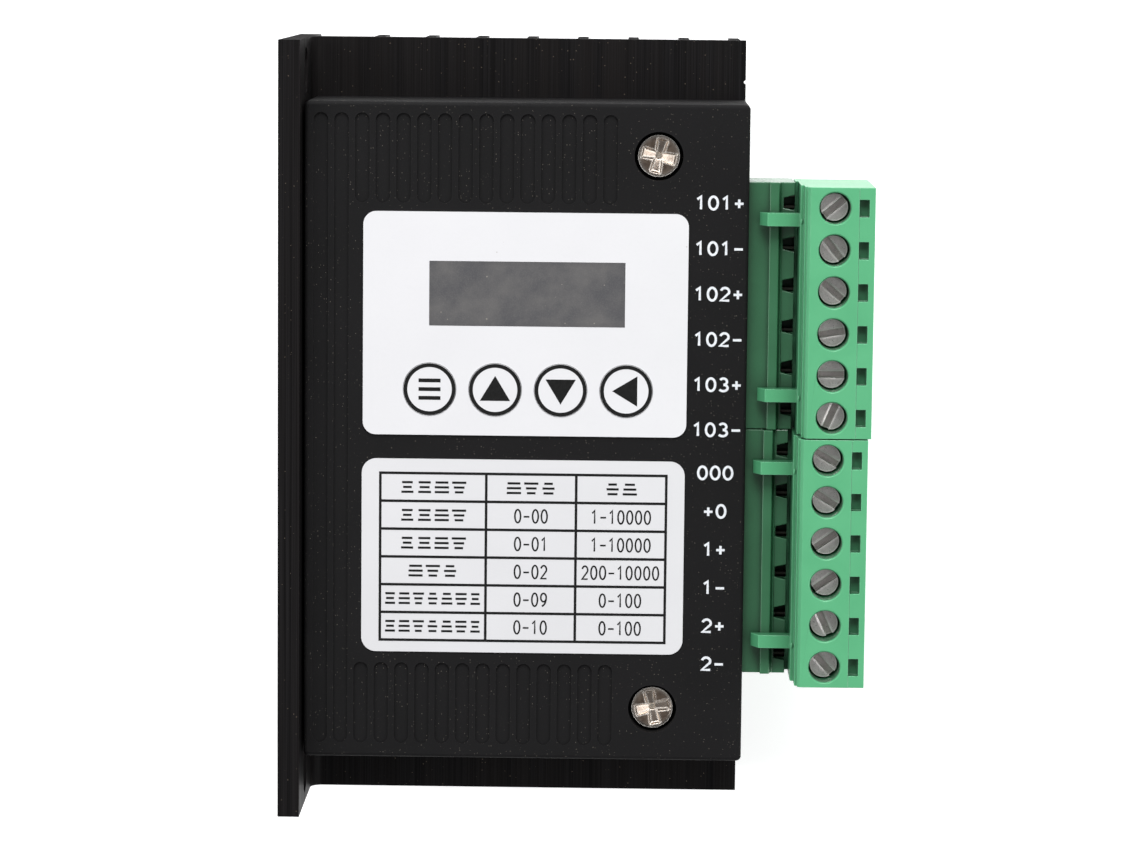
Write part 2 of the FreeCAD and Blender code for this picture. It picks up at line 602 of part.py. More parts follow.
def make_cover():
    body = new_body("cover")
    outline = polygon_sketch(body, "CoverOutline", "XY_Plane",
                             rectangle(dim("cover_left"), dim("cover_right"),
                                       dim("cover_low"), dim("cover_high")), dim("base_front"))
    block = pad(body, "CoverBlock", outline, "Dim.cover_face - Dim.base_front")
    corners = round_edges(body, "CoverCorners", block, dim("cover_corner"), is_upright)
    rim = round_edges(body, "CoverRim", corners, dim("cover_edge"),
                      lambda e: lies_at(e, "z", VALUES["cover_face"]))
    body.Tip = rim
    relief = polygon_sketch(body, "FootReliefOutline", "XZ_Plane",
                            ((dim("cover_left"), dim("base_front")),
                             ("Dim.cover_left + Dim.foot_relief", dim("base_front")),
                             (dim("cover_left"), "Dim.base_front + Dim.foot_relief")),
                            "-Dim.cover_low")
    pocket(body, "FootRelief", relief, "Dim.cover_high - Dim.cover_low")
    inner = rectangle("Dim.cover_left + Dim.cover_wall + Dim.foot_ledge",
                      "Dim.cover_right - Dim.cover_wall",
                      "Dim.cover_low + Dim.cover_wall", "Dim.cover_high - Dim.cover_wall")
    hollow = polygon_sketch(body, "HollowOutline", "XY_Plane", inner, "Dim.cover_face - Dim.cover_wall")
    pocket(body, "Hollow", hollow, "Dim.cover_face - Dim.cover_wall - Dim.base_front")
    opening = polygon_sketch(body, "OpeningOutline", "YZ_Plane",
                             rectangle(dim("opening_low"), dim("opening_high"),
                                       dim("base_front"), dim("opening_top")), dim("cover_right"))
    pocket(body, "TerminalOpening", opening, dim("opening_depth"))
    pillars = circle_sketch(body, "PillarOutlines", "XY_Plane", COVER_SCREW_CENTRES,
                            dim("pillar_diameter"), dim("board_top"))
    pad(body, "Pillars", pillars, "Dim.cover_face - Dim.cover_wall / 2 - Dim.board_top")
    posts = circle_sketch(body, "PostOutlines", "XY_Plane",
                          [(dim("post_left_x"), dim("post_y")), (dim("post_right_x"), dim("post_y"))],
                          dim("post_diameter"), dim("ui_top"))
    pad(body, "Posts", posts, "Dim.cover_face - Dim.cover_wall / 2 - Dim.ui_top")
    wells = circle_sketch(body, "WellOutlines", "XY_Plane", COVER_SCREW_CENTRES,
                          dim("counterbore_diameter"), dim("cover_face"))
    pocket(body, "ScrewWells", wells, dim("counterbore_depth"))
    holes = circle_sketch(body, "HoleOutlines", "XY_Plane", COVER_SCREW_CENTRES,
                          dim("screw_clearance"), dim("cover_face"))
    pocket(body, "ScrewHoles", holes, "Dim.cover_face - Dim.board_top")
    window = polygon_sketch(body, "WindowOutline", "XY_Plane",
                            rectangle("Dim.window_left + Dim.window_ledge",
                                      "Dim.window_right - Dim.window_ledge",
                                      "Dim.window_low + Dim.window_ledge",
                                      "Dim.window_high - Dim.window_ledge"), dim("cover_face"))
    pocket(body, "WindowOpening", window, dim("cover_wall"))
    well = circle_sketch(body, "KeyWellOutline", "XY_Plane", [(dim("key_first"), dim("key_y"))],
                         dim("key_well_diameter"), dim("cover_face"))
    key_well = pocket(body, "KeyWell", well, dim("key_well_depth"))
    stem = circle_sketch(body, "StemHoleOutline", "XY_Plane", [(dim("key_first"), dim("key_y"))],
                         "Dim.pip_diameter + 2 * Dim.pip_clearance", dim("cover_face"))
    stem_hole = pocket(body, "StemHole", stem, dim("cover_wall"))
    repeat(body, "KeyOpenings", [key_well, stem_hole], "H_Axis",
           "Dim.key_pitch * (Dim.key_count - 1)", dim("key_count"))
    cut_face_grooves(body)


# ---------------------------------------------------------------- films, window and keys

def make_keypad_overlay():
    body = new_body("keypad_overlay", z=dim("cover_face"))
    outline = polygon_sketch(body, "FilmOutline", "XY_Plane",
                             rectangle(dim("film_left"), dim("film_right"),
                                       dim("film_low"), dim("film_high")))
    film = pad(body, "Film", outline, dim("film_thickness"))
    round_edges(body, "FilmCorners", film, dim("film_corner"), is_upright)
    window = polygon_sketch(body, "FilmWindow", "XY_Plane",
                            rectangle(dim("window_left"), dim("window_right"),
                                      dim("window_low"), dim("window_high")), dim("film_thickness"))
    pocket(body, "WindowCutout", window, dim("film_thickness"))
    key = circle_sketch(body, "FilmKey", "XY_Plane", [(dim("key_first"), dim("key_y"))],
                        "Dim.key_diameter + 2 * Dim.key_gap", dim("film_thickness"))
    cutout = pocket(body, "KeyCutout", key, dim("film_thickness"))
    repeat(body, "KeyCutouts", [cutout], "H_Axis", "Dim.key_pitch * (Dim.key_count - 1)",
           dim("key_count"))


def make_display_window():
    pane = box("window_pane", "Dim.window_left + Dim.window_gap", "Dim.window_right - Dim.window_gap",
               "Dim.window_low + Dim.window_gap", "Dim.window_high - Dim.window_gap",
               dim("cover_face"), "Dim.cover_face + Dim.film_thickness")
    single("display_window", pane)


def make_parameter_label():
    body = new_body("parameter_label", z=dim("cover_face"))
    outline = polygon_sketch(body, "LabelOutline", "XY_Plane",
                             rectangle(dim("label_left"), dim("label_right"),
                                       dim("label_low"), dim("label_high")))
    label = pad(body, "Label", outline, dim("label_thickness"))
    round_edges(body, "LabelCorners", label, dim("label_corner"), is_upright)


def key_station(index):
    return "Dim.key_first + %d * Dim.key_pitch" % index


def make_key(index):
    """Key face with the stem that reaches its switch."""
    body = new_body("key_" + KEY_NAMES[index], key_station(index), dim("key_y"))
    stem = "Dim.pip_diameter / 2"
    face = "Dim.key_diameter / 2"
    stem_end = "Dim.ui_top + Dim.switch_height + Dim.plunger_rise"
    under = dim("cover_face")
    top = "Dim.cover_face + Dim.key_rise"
    profile = polygon_sketch(body, "KeyProfile", "XZ_Plane",
                             (("0", stem_end), (stem, stem_end), (stem, under),
                              (face, under), (face, top), ("0", top)))
    revolve(body, "Key", profile)


def make_tact_plunger(index):
    base = "Dim.ui_top + Dim.switch_height"
    plunger = cylinder("plunger_%d" % index, "0", "0", "%s - Dim.plunger_seat" % base,
                       "%s + Dim.plunger_rise" % base, "Dim.plunger_diameter / 2")
    single("tact_plunger_" + KEY_NAMES[index], plunger, key_station(index), dim("key_y"))


def make_tact_switch_bodies():
    half = "Dim.switch_size / 2"
    top = "Dim.ui_top + Dim.switch_height"
    cases = []
    for index in range(VALUES["key_count"]):
        x = key_station(index)
        shell = box("switch_case_%d" % index, "%s - %s" % (x, half), "%s + %s" % (x, half),
                    "Dim.key_y - " + half, "Dim.key_y + " + half, dim("ui_top"), top)
        bore = cylinder("switch_bore_%d" % index, x, dim("key_y"), "%s - Dim.plunger_bore" % top, top,
                        "Dim.plunger_diameter / 2 + Dim.plunger_clearance")
        cases.append(cut("switch_%d" % index, shell, bore))
    group("tact_switch_bodies", cases)


# ---------------------------------------------------------------- display and boards

def make_display_module():
    x = "(Dim.window_left + Dim.window_right) / 2"
    y = "(Dim.window_low + Dim.window_high) / 2"
    block = box("module_block", "-Dim.module_length / 2", "Dim.module_length / 2",
                "-Dim.module_width / 2", "Dim.module_width / 2", dim("ui_top"), dim("module_top"))
    single("display_module", block, x, y)


def digit_segments(prefix, centre):
    """Seven bars of one digit round a centre along X."""
    half_w = "Dim.digit_width / 2"
    half_h = "Dim.digit_height / 2"
    stroke = "Dim.segment_width"
    gap = "Dim.segment_gap"
    bars = []
    for name, low in (("bottom", "-%s" % half_h), ("middle", "-%s / 2" % stroke),
                      ("top", "%s - %s" % (half_h, stroke))):
        bars.append(box(prefix + name, "%s - %s + %s + %s" % (centre, half_w, stroke, gap),
                        "%s + %s - %s - %s" % (centre, half_w, stroke, gap),
                        low, "%s + %s" % (low, stroke),
                        dim("module_top"), "Dim.module_top + Dim.segment_height"))
    for side, left in (("left", "%s - %s" % (centre, half_w)),
                       ("right", "%s + %s - %s" % (centre, half_w, stroke))):
        for level, low, high in (("lower", "-%s + %s" % (half_h, gap), "-%s" % gap),
                                 ("upper", gap, "%s - %s" % (half_h, gap))):
            bars.append(box(prefix + side + level, left, "%s + %s" % (left, stroke), low, high,
                            dim("module_top"), "Dim.module_top + Dim.segment_height"))
    return bars


def make_display_segments():
    bars = []
    for index in range(VALUES["digit_count"]):
        centre = "(%d - (Dim.digit_count - 1) / 2) * Dim.digit_pitch" % index
        bars += digit_segments("digit_%d_" % index, centre)
    group("display_segments", bars, "(Dim.window_left + Dim.window_right) / 2",
          "(Dim.window_low + Dim.window_high) / 2")


def make_ui_board():
    body = new_body("ui_board", z=dim("ui_top"))
    outline = polygon_sketch(body, "UiOutline", "XY_Plane",
                             rectangle(dim("ui_left"), dim("ui_right"), dim("ui_low"), dim("ui_high")),
                             "-Dim.ui_thickness")
    pad(body, "UiPlate", outline, dim("ui_thickness"))


def make_board_connector():
    block = box("connector_block", "-Dim.connector_length / 2", "Dim.connector_length / 2",
                "-Dim.connector_width / 2", "Dim.connector_width / 2",
                dim("board_top"), "Dim.ui_top - Dim.ui_thickness")
    single("board_connector", block, "(Dim.ui_left + Dim.ui_right) / 2", dim("connector_y"))


def make_main_board():
    body = new_body("main_board", z=dim("board_top"))
    outline = polygon_sketch(body, "BoardOutline", "XY_Plane",
                             rectangle(dim("board_left"), dim("board_right"),
                                       dim("board_low"), dim("board_high")), "-Dim.board_thickness")
    pad(body, "BoardPlate", outline, dim("board_thickness"))
    holes = circle_sketch(body, "BoardHoles", "XY_Plane", SCREW_CENTRES, dim("screw_clearance"))
    pocket(body, "ScrewClearance", holes, dim("board_thickness"))
    for name in ("signal", "power"):
        leg = circle_sketch(body, name.title() + "LegHole", "XY_Plane",
                            [("%s + Dim.pin_back + Dim.pin_size / 2" % block_shift(name),
                              "Dim.%s_y + %s" % (name, pole_position(0)))], dim("pin_hole"))
        hole = pocket(body, name.title() + "Leg", leg, dim("board_thickness"))
        repeat(body, name.title() + "Legs", [hole], "V_Axis",
               "Dim.pole_pitch * (Dim.pole_count - 1)", dim("pole_count"))


# ---------------------------------------------------------------- terminal blocks

def make_header(name):
    """Right-angle header housing, open towards the plug."""
    body = new_body(name + "_header", block_shift(name), dim(name + "_y"), dim("board_top"))
    half = "Dim.header_length / 2"
    outline = polygon_sketch(body, "HousingOutline", "XY_Plane",
                             rectangle(dim("header_left"), dim("header_right"), "-" + half, half))
    pad(body, "Housing", outline, dim("header_height"))
    rib_root = "Dim.header_height - Dim.header_roof / 2"
    rib_top = "Dim.header_height + Dim.rib_height"
    rib = polygon_sketch(body, "RibProfile", "XZ_Plane",
                         ((dim("rib_left"), rib_root), ("Dim.rib_right + Dim.rib_slope", rib_root),
                          ("Dim.rib_right + Dim.rib_slope", dim("header_height")),
                          (dim("rib_right"), rib_top), (dim("rib_left"), rib_top)))
    symmetric_pad(body, "LatchRib", rib, dim("header_length"))
    cavity = polygon_sketch(body, "CavityOutline", "YZ_Plane",
                            rectangle("-%s + Dim.header_side" % half, "%s - Dim.header_side" % half,
                                      dim("header_floor"), "Dim.header_height - Dim.header_roof"),
                            dim("header_right"))
    pocket(body, "Cavity", cavity, "Dim.header_right - Dim.header_left - Dim.header_back")
    pole = pole_position(0)
    bore = "Dim.pin_size + 2 * Dim.pin_gap"
    pin = polygon_sketch(body, "PinHoleOutline", "YZ_Plane",
                         centred("(%s)" % bore, "(%s)" % bore, pole, "Dim.pin_level - Dim.board_top"),
                         "Dim.header_left + Dim.header_back")
    pin_hole = pocket(body, "PinHole", pin, dim("header_back"))
    repeat(body, "PinHoles", [pin_hole], "H_Axis", "Dim.pole_pitch * (Dim.pole_count - 1)",
           dim("pole_count"))
    inner = "Dim.header_right - Dim.mouth_notch_depth"
    notch = polygon_sketch(body, "MouthNotchOutline", "XY_Plane",
                           ((inner, "%s - Dim.mouth_notch_inner / 2" % pole),
                            (dim("header_right"), "%s - Dim.mouth_notch_outer / 2" % pole),
                            (dim("header_right"), "%s + Dim.mouth_notch_outer / 2" % pole),
                            (inner, "%s + Dim.mouth_notch_inner / 2" % pole)), dim("header_height"))
    mouth = pocket(body, "MouthNotch", notch, dim("header_roof"))
    repeat(body, "MouthNotches", [mouth], "V_Axis", "Dim.pole_pitch * (Dim.pole_count - 1)",
           dim("pole_count"))


def make_header_pins(name):
    """Six bent pins: a leg through the board and a tongue that enters the plug."""
    half = "Dim.pin_size / 2"
    pins = []
    for index in range(VALUES["pole_count"]):
        low = "%s - %s" % (pole_position(index), half)
        high = "%s + %s" % (pole_position(index), half)
        tongue = box("%s_tongue_%d" % (name, index), dim("pin_back"), dim("pin_tip"), low, high,
                     "Dim.pin_level - " + half, "Dim.pin_level + " + half)
        leg = box("%s_leg_%d" % (name, index), dim("pin_back"), "Dim.pin_back + Dim.pin_size",
                  low, high, dim("pin_end_level"), "Dim.pin_level + " + half)
        pins.append(fuse("%s_pin_%d" % (name, index), [tongue, leg]))
    group(name + "_header_pins", pins, block_shift(name), dim(name + "_y"))


def block_shift(name):
    """Station of a connector's own zero: the power connector stands slightly further inboard."""
    return "0" if name == "signal" else "-Dim.power_push"


def cut_pole_features(body):
    """Screw well, clamp pocket, test hole, coding slot, wire entry and contact channel, for every pole."""
    pole = pole_position(0)
    well = circle_sketch(body, "WellOutline", "XY_Plane", [(dim("screw_x"), pole)],
                         dim("screw_well_diameter"), dim("plug_top"))
    stem = circle_sketch(body, "StemOutline", "XY_Plane", [(dim("screw_x"), pole)],
                         "Dim.terminal_stem_diameter + 2 * Dim.stem_clearance", dim("plug_top"))
    cage = polygon_sketch(body, "CagePocketOutline", "XY_Plane",
                          centred(dim("cage_pocket_length"), dim("cage_pocket_width"),
                                  dim("screw_x"), pole), dim("cage_pocket_top"))
    probe = polygon_sketch(body, "ProbeOutline", "XY_Plane",
                           centred(dim("probe_length"), dim("probe_width"), dim("probe_x"), pole),
                           dim("plug_top"))
    coding = polygon_sketch(body, "CodingOutline", "XY_Plane",
                            rectangle("Dim.header_right - Dim.mouth_notch_depth", dim("plug_foot_left"),
                                      "%s - Dim.mouth_notch_outer / 2" % pole,
                                      "%s + Dim.mouth_notch_outer / 2" % pole), dim("nose_top"))
    upper = [
        pocket(body, "ScrewWell", well, "Dim.plug_top - Dim.screw_seat"),
        pocket(body, "StemHole", stem, "Dim.plug_top - Dim.cage_pocket_top"),
        pocket(body, "CagePocket", cage, "Dim.cage_pocket_top - Dim.cage_pocket_bottom"),
        pocket(body, "ProbeHole", probe, dim("probe_depth")),
        pocket(body, "CodingSlot", coding, "Dim.nose_top - Dim.channel_bottom"),
    ]
    repeat(body, "UpperPoles", upper, "V_Axis", "Dim.pole_pitch * (Dim.pole_count - 1)",
           dim("pole_count"))
    pocket_edge = "Dim.screw_x + Dim.cage_pocket_length / 2"
    entry = polygon_sketch(body, "EntryOutline", "YZ_Plane",
                           rectangle("%s - Dim.entry_width / 2" % pole, "%s + Dim.entry_width / 2" % pole,
                                     dim("entry_bottom"), dim("entry_top")), dim("plug_right"))
    flare = polygon_sketch(body, "FlareOutline", "YZ_Plane",
                           rectangle("%s - Dim.funnel_width / 2" % pole,
                                     "%s + Dim.funnel_width / 2" % pole,
                                     "Dim.entry_bottom - Dim.funnel_margin",
                                     "Dim.entry_top + Dim.funnel_margin"), dim("plug_right"))
    web = polygon_sketch(body, "WebChannelOutline", "YZ_Plane",
                         rectangle("%s - Dim.channel_width / 2" % pole,
                                   "%s + Dim.channel_width / 2" % pole,
                                   dim("channel_bottom"), dim("web_channel_top")), dim("screw_x"))
    channel = polygon_sketch(body, "ChannelOutline", "YZ_Plane",
                             rectangle("%s - Dim.channel_width / 2" % pole,
                                       "%s + Dim.channel_width / 2" % pole,
                                       dim("channel_bottom"), dim("channel_top")),
                             "Dim.web_channel_left + Dim.root_overlap")
    side = [
        pocket(body, "WireEntry", entry, "Dim.plug_right - (%s)" % pocket_edge),
        pocket(body, "EntryFlare", flare, dim("funnel_depth")),
        pocket(body, "WebChannel", web, "Dim.screw_x - Dim.web_channel_left"),
        pocket(body, "ContactChannel", channel, "Dim.web_channel_left + Dim.root_overlap - Dim.nose_left"),
    ]
    repeat(body, "SidePoles", side, "H_Axis", "Dim.pole_pitch * (Dim.pole_count - 1)",
           dim("pole_count"))


def make_plug(name):
    """Plug housing: screw block, nose that enters the header, and two latch arms."""
    body = new_body(name + "_plug", block_shift(name), dim(name + "_y"))
    half = "Dim.plug_length / 2"
    block = polygon_sketch(body, "BlockProfile", "XZ_Plane",
                           ((dim("plug_foot_left"), dim("plug_bottom")),
                            (dim("plug_right"), dim("plug_bottom")),
                            (dim("plug_right"), "Dim.plug_top - Dim.plug_lip_height"),
                            (dim("plug_lip"), "Dim.plug_top - Dim.plug_lip_height"),
                            (dim("plug_lip"), dim("plug_top")),
                            ("Dim.plug_face_left + Dim.plug_bevel", dim("plug_top")),
                            (dim("plug_face_left"), "Dim.plug_top - Dim.plug_bevel"),
                            (dim("plug_face_left"), dim("plug_step_top")),
                            (dim("plug_step_left"), dim("plug_step_top")),
                            (dim("plug_step_left"), dim("shoulder_top")),
                            (dim("plug_left"), dim("shoulder_top")),
                            (dim("plug_left"), dim("nose_step_top")),
                            (dim("plug_foot_left"), dim("nose_step_top"))))
    symmetric_pad(body, "Block", block, dim("plug_length"))
    nose = polygon_sketch(body, "NoseProfile", "XZ_Plane",
                          ((dim("nose_left"), dim("nose_bottom")),
                           ("Dim.plug_left + Dim.root_overlap", dim("nose_bottom")),
                           ("Dim.plug_left + Dim.root_overlap", dim("nose_step_top")),
                           (dim("nose_step"), dim("nose_step_top")),
                           (dim("nose_step"), dim("nose_top")), (dim("nose_left"), dim("nose_top"))))
    symmetric_pad(body, "Nose", nose, dim("nose_length"))
    for side, sign in (("Lower", "-"), ("Upper", "")):
        arm_y = "%sDim.arm_spacing / 2" % sign
        arm = polygon_sketch(body, side + "ArmProfile", "XZ_Plane",
                             ((dim("arm_tip"), dim("arm_bottom")),
                              ("Dim.plug_left + Dim.root_overlap", dim("arm_bottom")),
                              ("Dim.plug_left + Dim.root_overlap", dim("arm_top")),
                              (dim("arm_ramp"), dim("arm_top")),
                              (dim("arm_tip"), "Dim.arm_bottom + Dim.arm_tip_height")),
                             "-(%s) - Dim.arm_width / 2" % arm_y)
        pad(body, side + "Arm", arm, dim("arm_width"))
    cut_pole_features(body)
    poles = body.Tip
    well_radius = VALUES["screw_well_diameter"] / 2
    round_edges(body, "WellBevels", poles, dim("plug_edge"),
                lambda e: lies_at(e, "z", VALUES["plug_top"]) and is_round(e, well_radius),
                kind="Chamfer")


def make_plug_contacts(name):
    """Six contacts: a current bar in the clamp, a web, and two blades that grip the pin."""
    contacts = []
    reach = "Dim.pin_size / 2 + Dim.blade_gap"
    for index in range(VALUES["pole_count"]):
        pole = pole_position(index)
        tag = "%s_%d" % (name, index)
        bar = box("bar_" + tag, dim("web_left"), dim("bar_right"),
                  "%s - Dim.bar_width / 2" % pole, "%s + Dim.bar_width / 2" % pole,
                  dim("bar_bottom"), "Dim.bar_bottom + Dim.bar_thickness")
        web = box("web_" + tag, dim("web_left"), "Dim.web_left + Dim.web_thickness",
                  "%s - Dim.bar_width / 2" % pole, "%s + Dim.bar_width / 2" % pole,
                  "Dim.pin_level - Dim.blade_height / 2", "Dim.bar_bottom + Dim.bar_thickness")
        blades = []
        for side, low, high in (
                ("lower", "%s - (%s) - Dim.blade_thickness" % (pole, reach), "%s - (%s)" % (pole, reach)),
                ("upper", "%s + %s" % (pole, reach), "%s + %s + Dim.blade_thickness" % (pole, reach))):
            blades.append(box("blade_%s_%s" % (side, tag), dim("blade_left"),
                              "Dim.web_left + Dim.web_thickness", low, high,
                              "Dim.pin_level - Dim.blade_height / 2",
                              "Dim.pin_level + Dim.blade_height / 2"))
        contacts.append(fuse("contact_" + tag, [bar, web] + blades))
    group(name + "_plug_contacts", contacts, block_shift(name), dim(name + "_y"))


def terminal_block(index):
    """Block name and pole index, counted from the upper end of the whole terminal row."""
    poles = VALUES["pole_count"]
    name = "signal" if index < poles else "power"
    return name, poles - 1 - index % poles


def make_terminal_screw(index):
    name, pole = terminal_block(index)
    body = new_body("terminal_screw_%02d" % (index + 1),
                    "%s + Dim.screw_x" % block_shift(name),
                    "Dim.%s_y + %s" % (name, pole_position(pole)), turn=SCREW_TURNS[index])
    head = "Dim.terminal_head_diameter / 2"
    stem = "Dim.terminal_stem_diameter / 2"
    top = "Dim.screw_seat + Dim.terminal_head_height"
    profile = polygon_sketch(body, "ScrewProfile", "XZ_Plane",
                             (("0", dim("terminal_stem_end")), (stem, dim("terminal_stem_end")),
                              (stem, dim("screw_seat")), (head, dim("screw_seat")),
                              (head, "%s - Dim.terminal_head_bevel" % top),
                              ("%s - Dim.terminal_head_bevel" % head, top), ("0", top)))
    revolve(body, "Screw", profile)
    slot = polygon_sketch(body, "SlotOutline", "XY_Plane",
                          centred("(2 * Dim.terminal_head_diameter)", dim("terminal_slot_width")), top)
    pocket(body, "Slot", slot, dim("terminal_slot_depth"))


def make_clamp_cage(index):
    name, pole = terminal_block(index)
    body = new_body("clamp_cage_%02d" % (index + 1), "%s + Dim.screw_x" % block_shift(name),
                    "Dim.%s_y + %s" % (name, pole_position(pole)), dim("cage_bottom"))
    outline = polygon_sketch(body, "CageOutline", "XY_Plane",
                             centred(dim("cage_length"), dim("cage_width")))
    pad(body, "Cage", outline, dim("cage_height"))
    throat = polygon_sketch(body, "ThroatOutline", "YZ_Plane",
                            rectangle("-Dim.cage_width / 2 + Dim.cage_wall",
                                      "Dim.cage_width / 2 - Dim.cage_wall", dim("cage_floor"),
                                      "Dim.cage_height - Dim.cage_roof"), "Dim.cage_length / 2")
    pocket(body, "Throat", throat, dim("cage_length"))
    thread = circle_sketch(body, "ThreadOutline", "XY_Plane", [("0", "0")],
                           "Dim.terminal_stem_diameter + 2 * Dim.stem_clearance", dim("cage_height"))
    pocket(body, "Thread", thread, dim("cage_roof"))


# ---------------------------------------------------------------- fasteners and board parts

def cross_recess(body, top):
    """Cross-shaped drive recess at the top of a screw head."""
    arm = "Dim.cross_length / 2"
    half = "Dim.cross_width / 2"
    corners = ((half, half), (half, arm), ("-" + half, arm), ("-" + half, half),
               ("-" + arm, half), ("-" + arm, "-" + half), ("-" + half, "-" + half),
               ("-" + half, "-" + arm), (half, "-" + arm), (half, "-" + half),
               (arm, "-" + half), (arm, half))
    cross = polygon_sketch(body, "CrossOutline", "XY_Plane", corners, top)
    pocket(body, "CrossRecess", cross, dim("cross_depth"))


def make_pan_screw(label, seat, turn):
    """Pan-head screw about its own axis, head resting at the seat level."""
    body = doc.addObject("PartDesign::Body", label)
    body.Label = label
    head = "Dim.screw_head_diameter / 2"
    shank = "Dim.shank_diameter / 2"
    top = "%s + Dim.screw_head_height" % seat
    profile = polygon_sketch(body, "PanProfile", "XZ_Plane",
                             (("0", dim("screw_end_level")), (shank, dim("screw_end_level")),
                              (shank, seat), (head, seat), (head, "%s - Dim.screw_head_round" % top),
                              ("%s - Dim.screw_head_round" % head, top), ("0", top)))
    revolve(body, "PanScrew", profile)
    cross_recess(body, top)
    body.Placement = FreeCAD.Placement(
        FreeCAD.Vector(0, 0, 0), FreeCAD.Rotation(FreeCAD.Vector(0, 0, 1), turn))
    return body


def make_screw_pair(label, seat, centres, turns):
    screws = []
    for index, (centre, turn) in enumerate(zip(centres, turns)):
        screw = make_pan_screw("%s_%d" % (label, index + 1), seat, turn)
        screw.setExpression("Placement.Base.x", centre[0])
        screw.setExpression("Placement.Base.y", centre[1])
        screws.append(screw)
    group(label, screws)


def make_board_standoffs():
    under_board = "Dim.board_top - Dim.board_thickness"
    spacers = []
    for index, (x, y) in enumerate(SCREW_CENTRES):
        tube = cylinder("spacer_%d" % index, x, y, dim("base_front"), under_board,
                        "Dim.standoff_diameter / 2")
        bore = cylinder("spacer_bore_%d" % index, x, y, dim("base_front"), under_board,
                        "Dim.screw_clearance / 2")
        spacers.append(cut("standoff_%d" % index, tube, bore))
    group("board_standoffs", spacers)


def centred_block(name, length, width, bottom, top):
    return box(name, "-%s / 2" % length, "%s / 2" % length, "-%s / 2" % width, "%s / 2" % width,
               bottom, top)


def make_chips():
    under_board = "Dim.board_top - Dim.board_thickness"
    pad_top = "Dim.base_front + Dim.pad_thickness"
    driver = centred_block("driver_block", dim("driver_length"), dim("driver_width"),
                           pad_top, under_board)
    single("driver_chip", driver, dim("driver_x"), dim("driver_y"))
    sheet_pad = centred_block("pad_block", dim("driver_length"), dim("driver_width"),
                              dim("base_front"), pad_top)
    single("thermal_pad", sheet_pad, dim("driver_x"), dim("driver_y"))
    chip = centred_block("chip_block", dim("chip_size"), dim("chip_size"),
                         dim("board_top"), "Dim.board_top + Dim.chip_height")
    single("controller_chip", chip, dim("chip_x"), dim("chip_y"))


def make_bulk_capacitors():
    cans = []
    half = "Dim.capacitor_diameter / 2"
    foot_top = "Dim.board_top + Dim.capacitor_foot"
    for index in range(VALUES["capacitor_count"]):
        x = "Dim.capacitor_first_x + %d * Dim.capacitor_pitch" % index
        foot = box("capacitor_foot_%d" % index, "%s - %s" % (x, half), "%s + %s" % (x, half),
                   "Dim.capacitor_y - " + half, "Dim.capacitor_y + " + half,
                   dim("board_top"), foot_top)
        can = cylinder("capacitor_can_%d" % index, x, dim("capacitor_y"), foot_top,
                       "Dim.board_top + Dim.capacitor_height", half)
        cans.append(fuse("capacitor_%d" % index, [foot, can]))
    group("bulk_capacitors", cans)


def make_optocouplers():
    blocks = []
    for index in range(VALUES["opto_count"]):
        y = "Dim.opto_first_y + %d * Dim.opto_pitch" % index
        blocks.append(box("opto_%d" % index, "Dim.opto_x - Dim.opto_length / 2",
                          "Dim.opto_x + Dim.opto_length / 2", "%s - Dim.opto_width / 2" % y,
                          "%s + Dim.opto_width / 2" % y, dim("board_top"),
                          "Dim.board_top + Dim.opto_height"))
    group("optocouplers", blocks)


# ---------------------------------------------------------------- assembly

def build():
    make_heatsink()
    make_cover()
    make_keypad_overlay()
    make_display_window()
    make_parameter_label()
    for index in range(VALUES["key_count"]):
        make_key(index)
        make_tact_plunger(index)
    make_tact_switch_bodies()
    make_display_module()
    make_display_segments()
    make_ui_board()
    make_board_connector()
    make_main_board()
    for name in ("signal", "power"):
        make_header(name)
        make_header_pins(name)
        make_plug(name)
        make_plug_contacts(name)
    for index in range(2 * VALUES["pole_count"]):
        make_terminal_screw(index)
        make_clamp_cage(index)
    make_screw_pair("cover_screws", "Dim.cover_face - Dim.counterbore_depth", COVER_SCREW_CENTRES,
                    COVER_SCREW_TURNS)
    make_screw_pair("board_screws", dim("board_top"), BOARD_SCREW_CENTRES,
                    BOARD_SCREW_TURNS)
    make_board_standoffs()
    make_chips()
    make_bulk_capacitors()
    make_optocouplers()
    doc.recompute()


def export():
    """Stop on any broken feature, then write one STEP file for each node."""
    for obj in doc.Objects:
        if "Invalid" in obj.State or "Error" in obj.State:
            raise RuntimeError("%s did not compute" % obj.Label)
    os.makedirs("parts", exist_ok=True)
    for node in NODES:
        if node.Shape.isNull() or not node.Shape.isValid() or not node.Shape.Solids:
            raise RuntimeError("%s has no valid solid" % node.Label)
        node.Shape.exportStep("parts/%s.step" % node.Label)
        print("%-22s %2d solid(s) %10.2f mm3" % (node.Label, len(node.Shape.Solids), node.Shape.Volume))


build()
export()
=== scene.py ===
"""Looks of a stepper driver module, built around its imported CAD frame. Lengths are in metres."""
import math

import bmesh
import bpy
from mathutils import Matrix, Vector


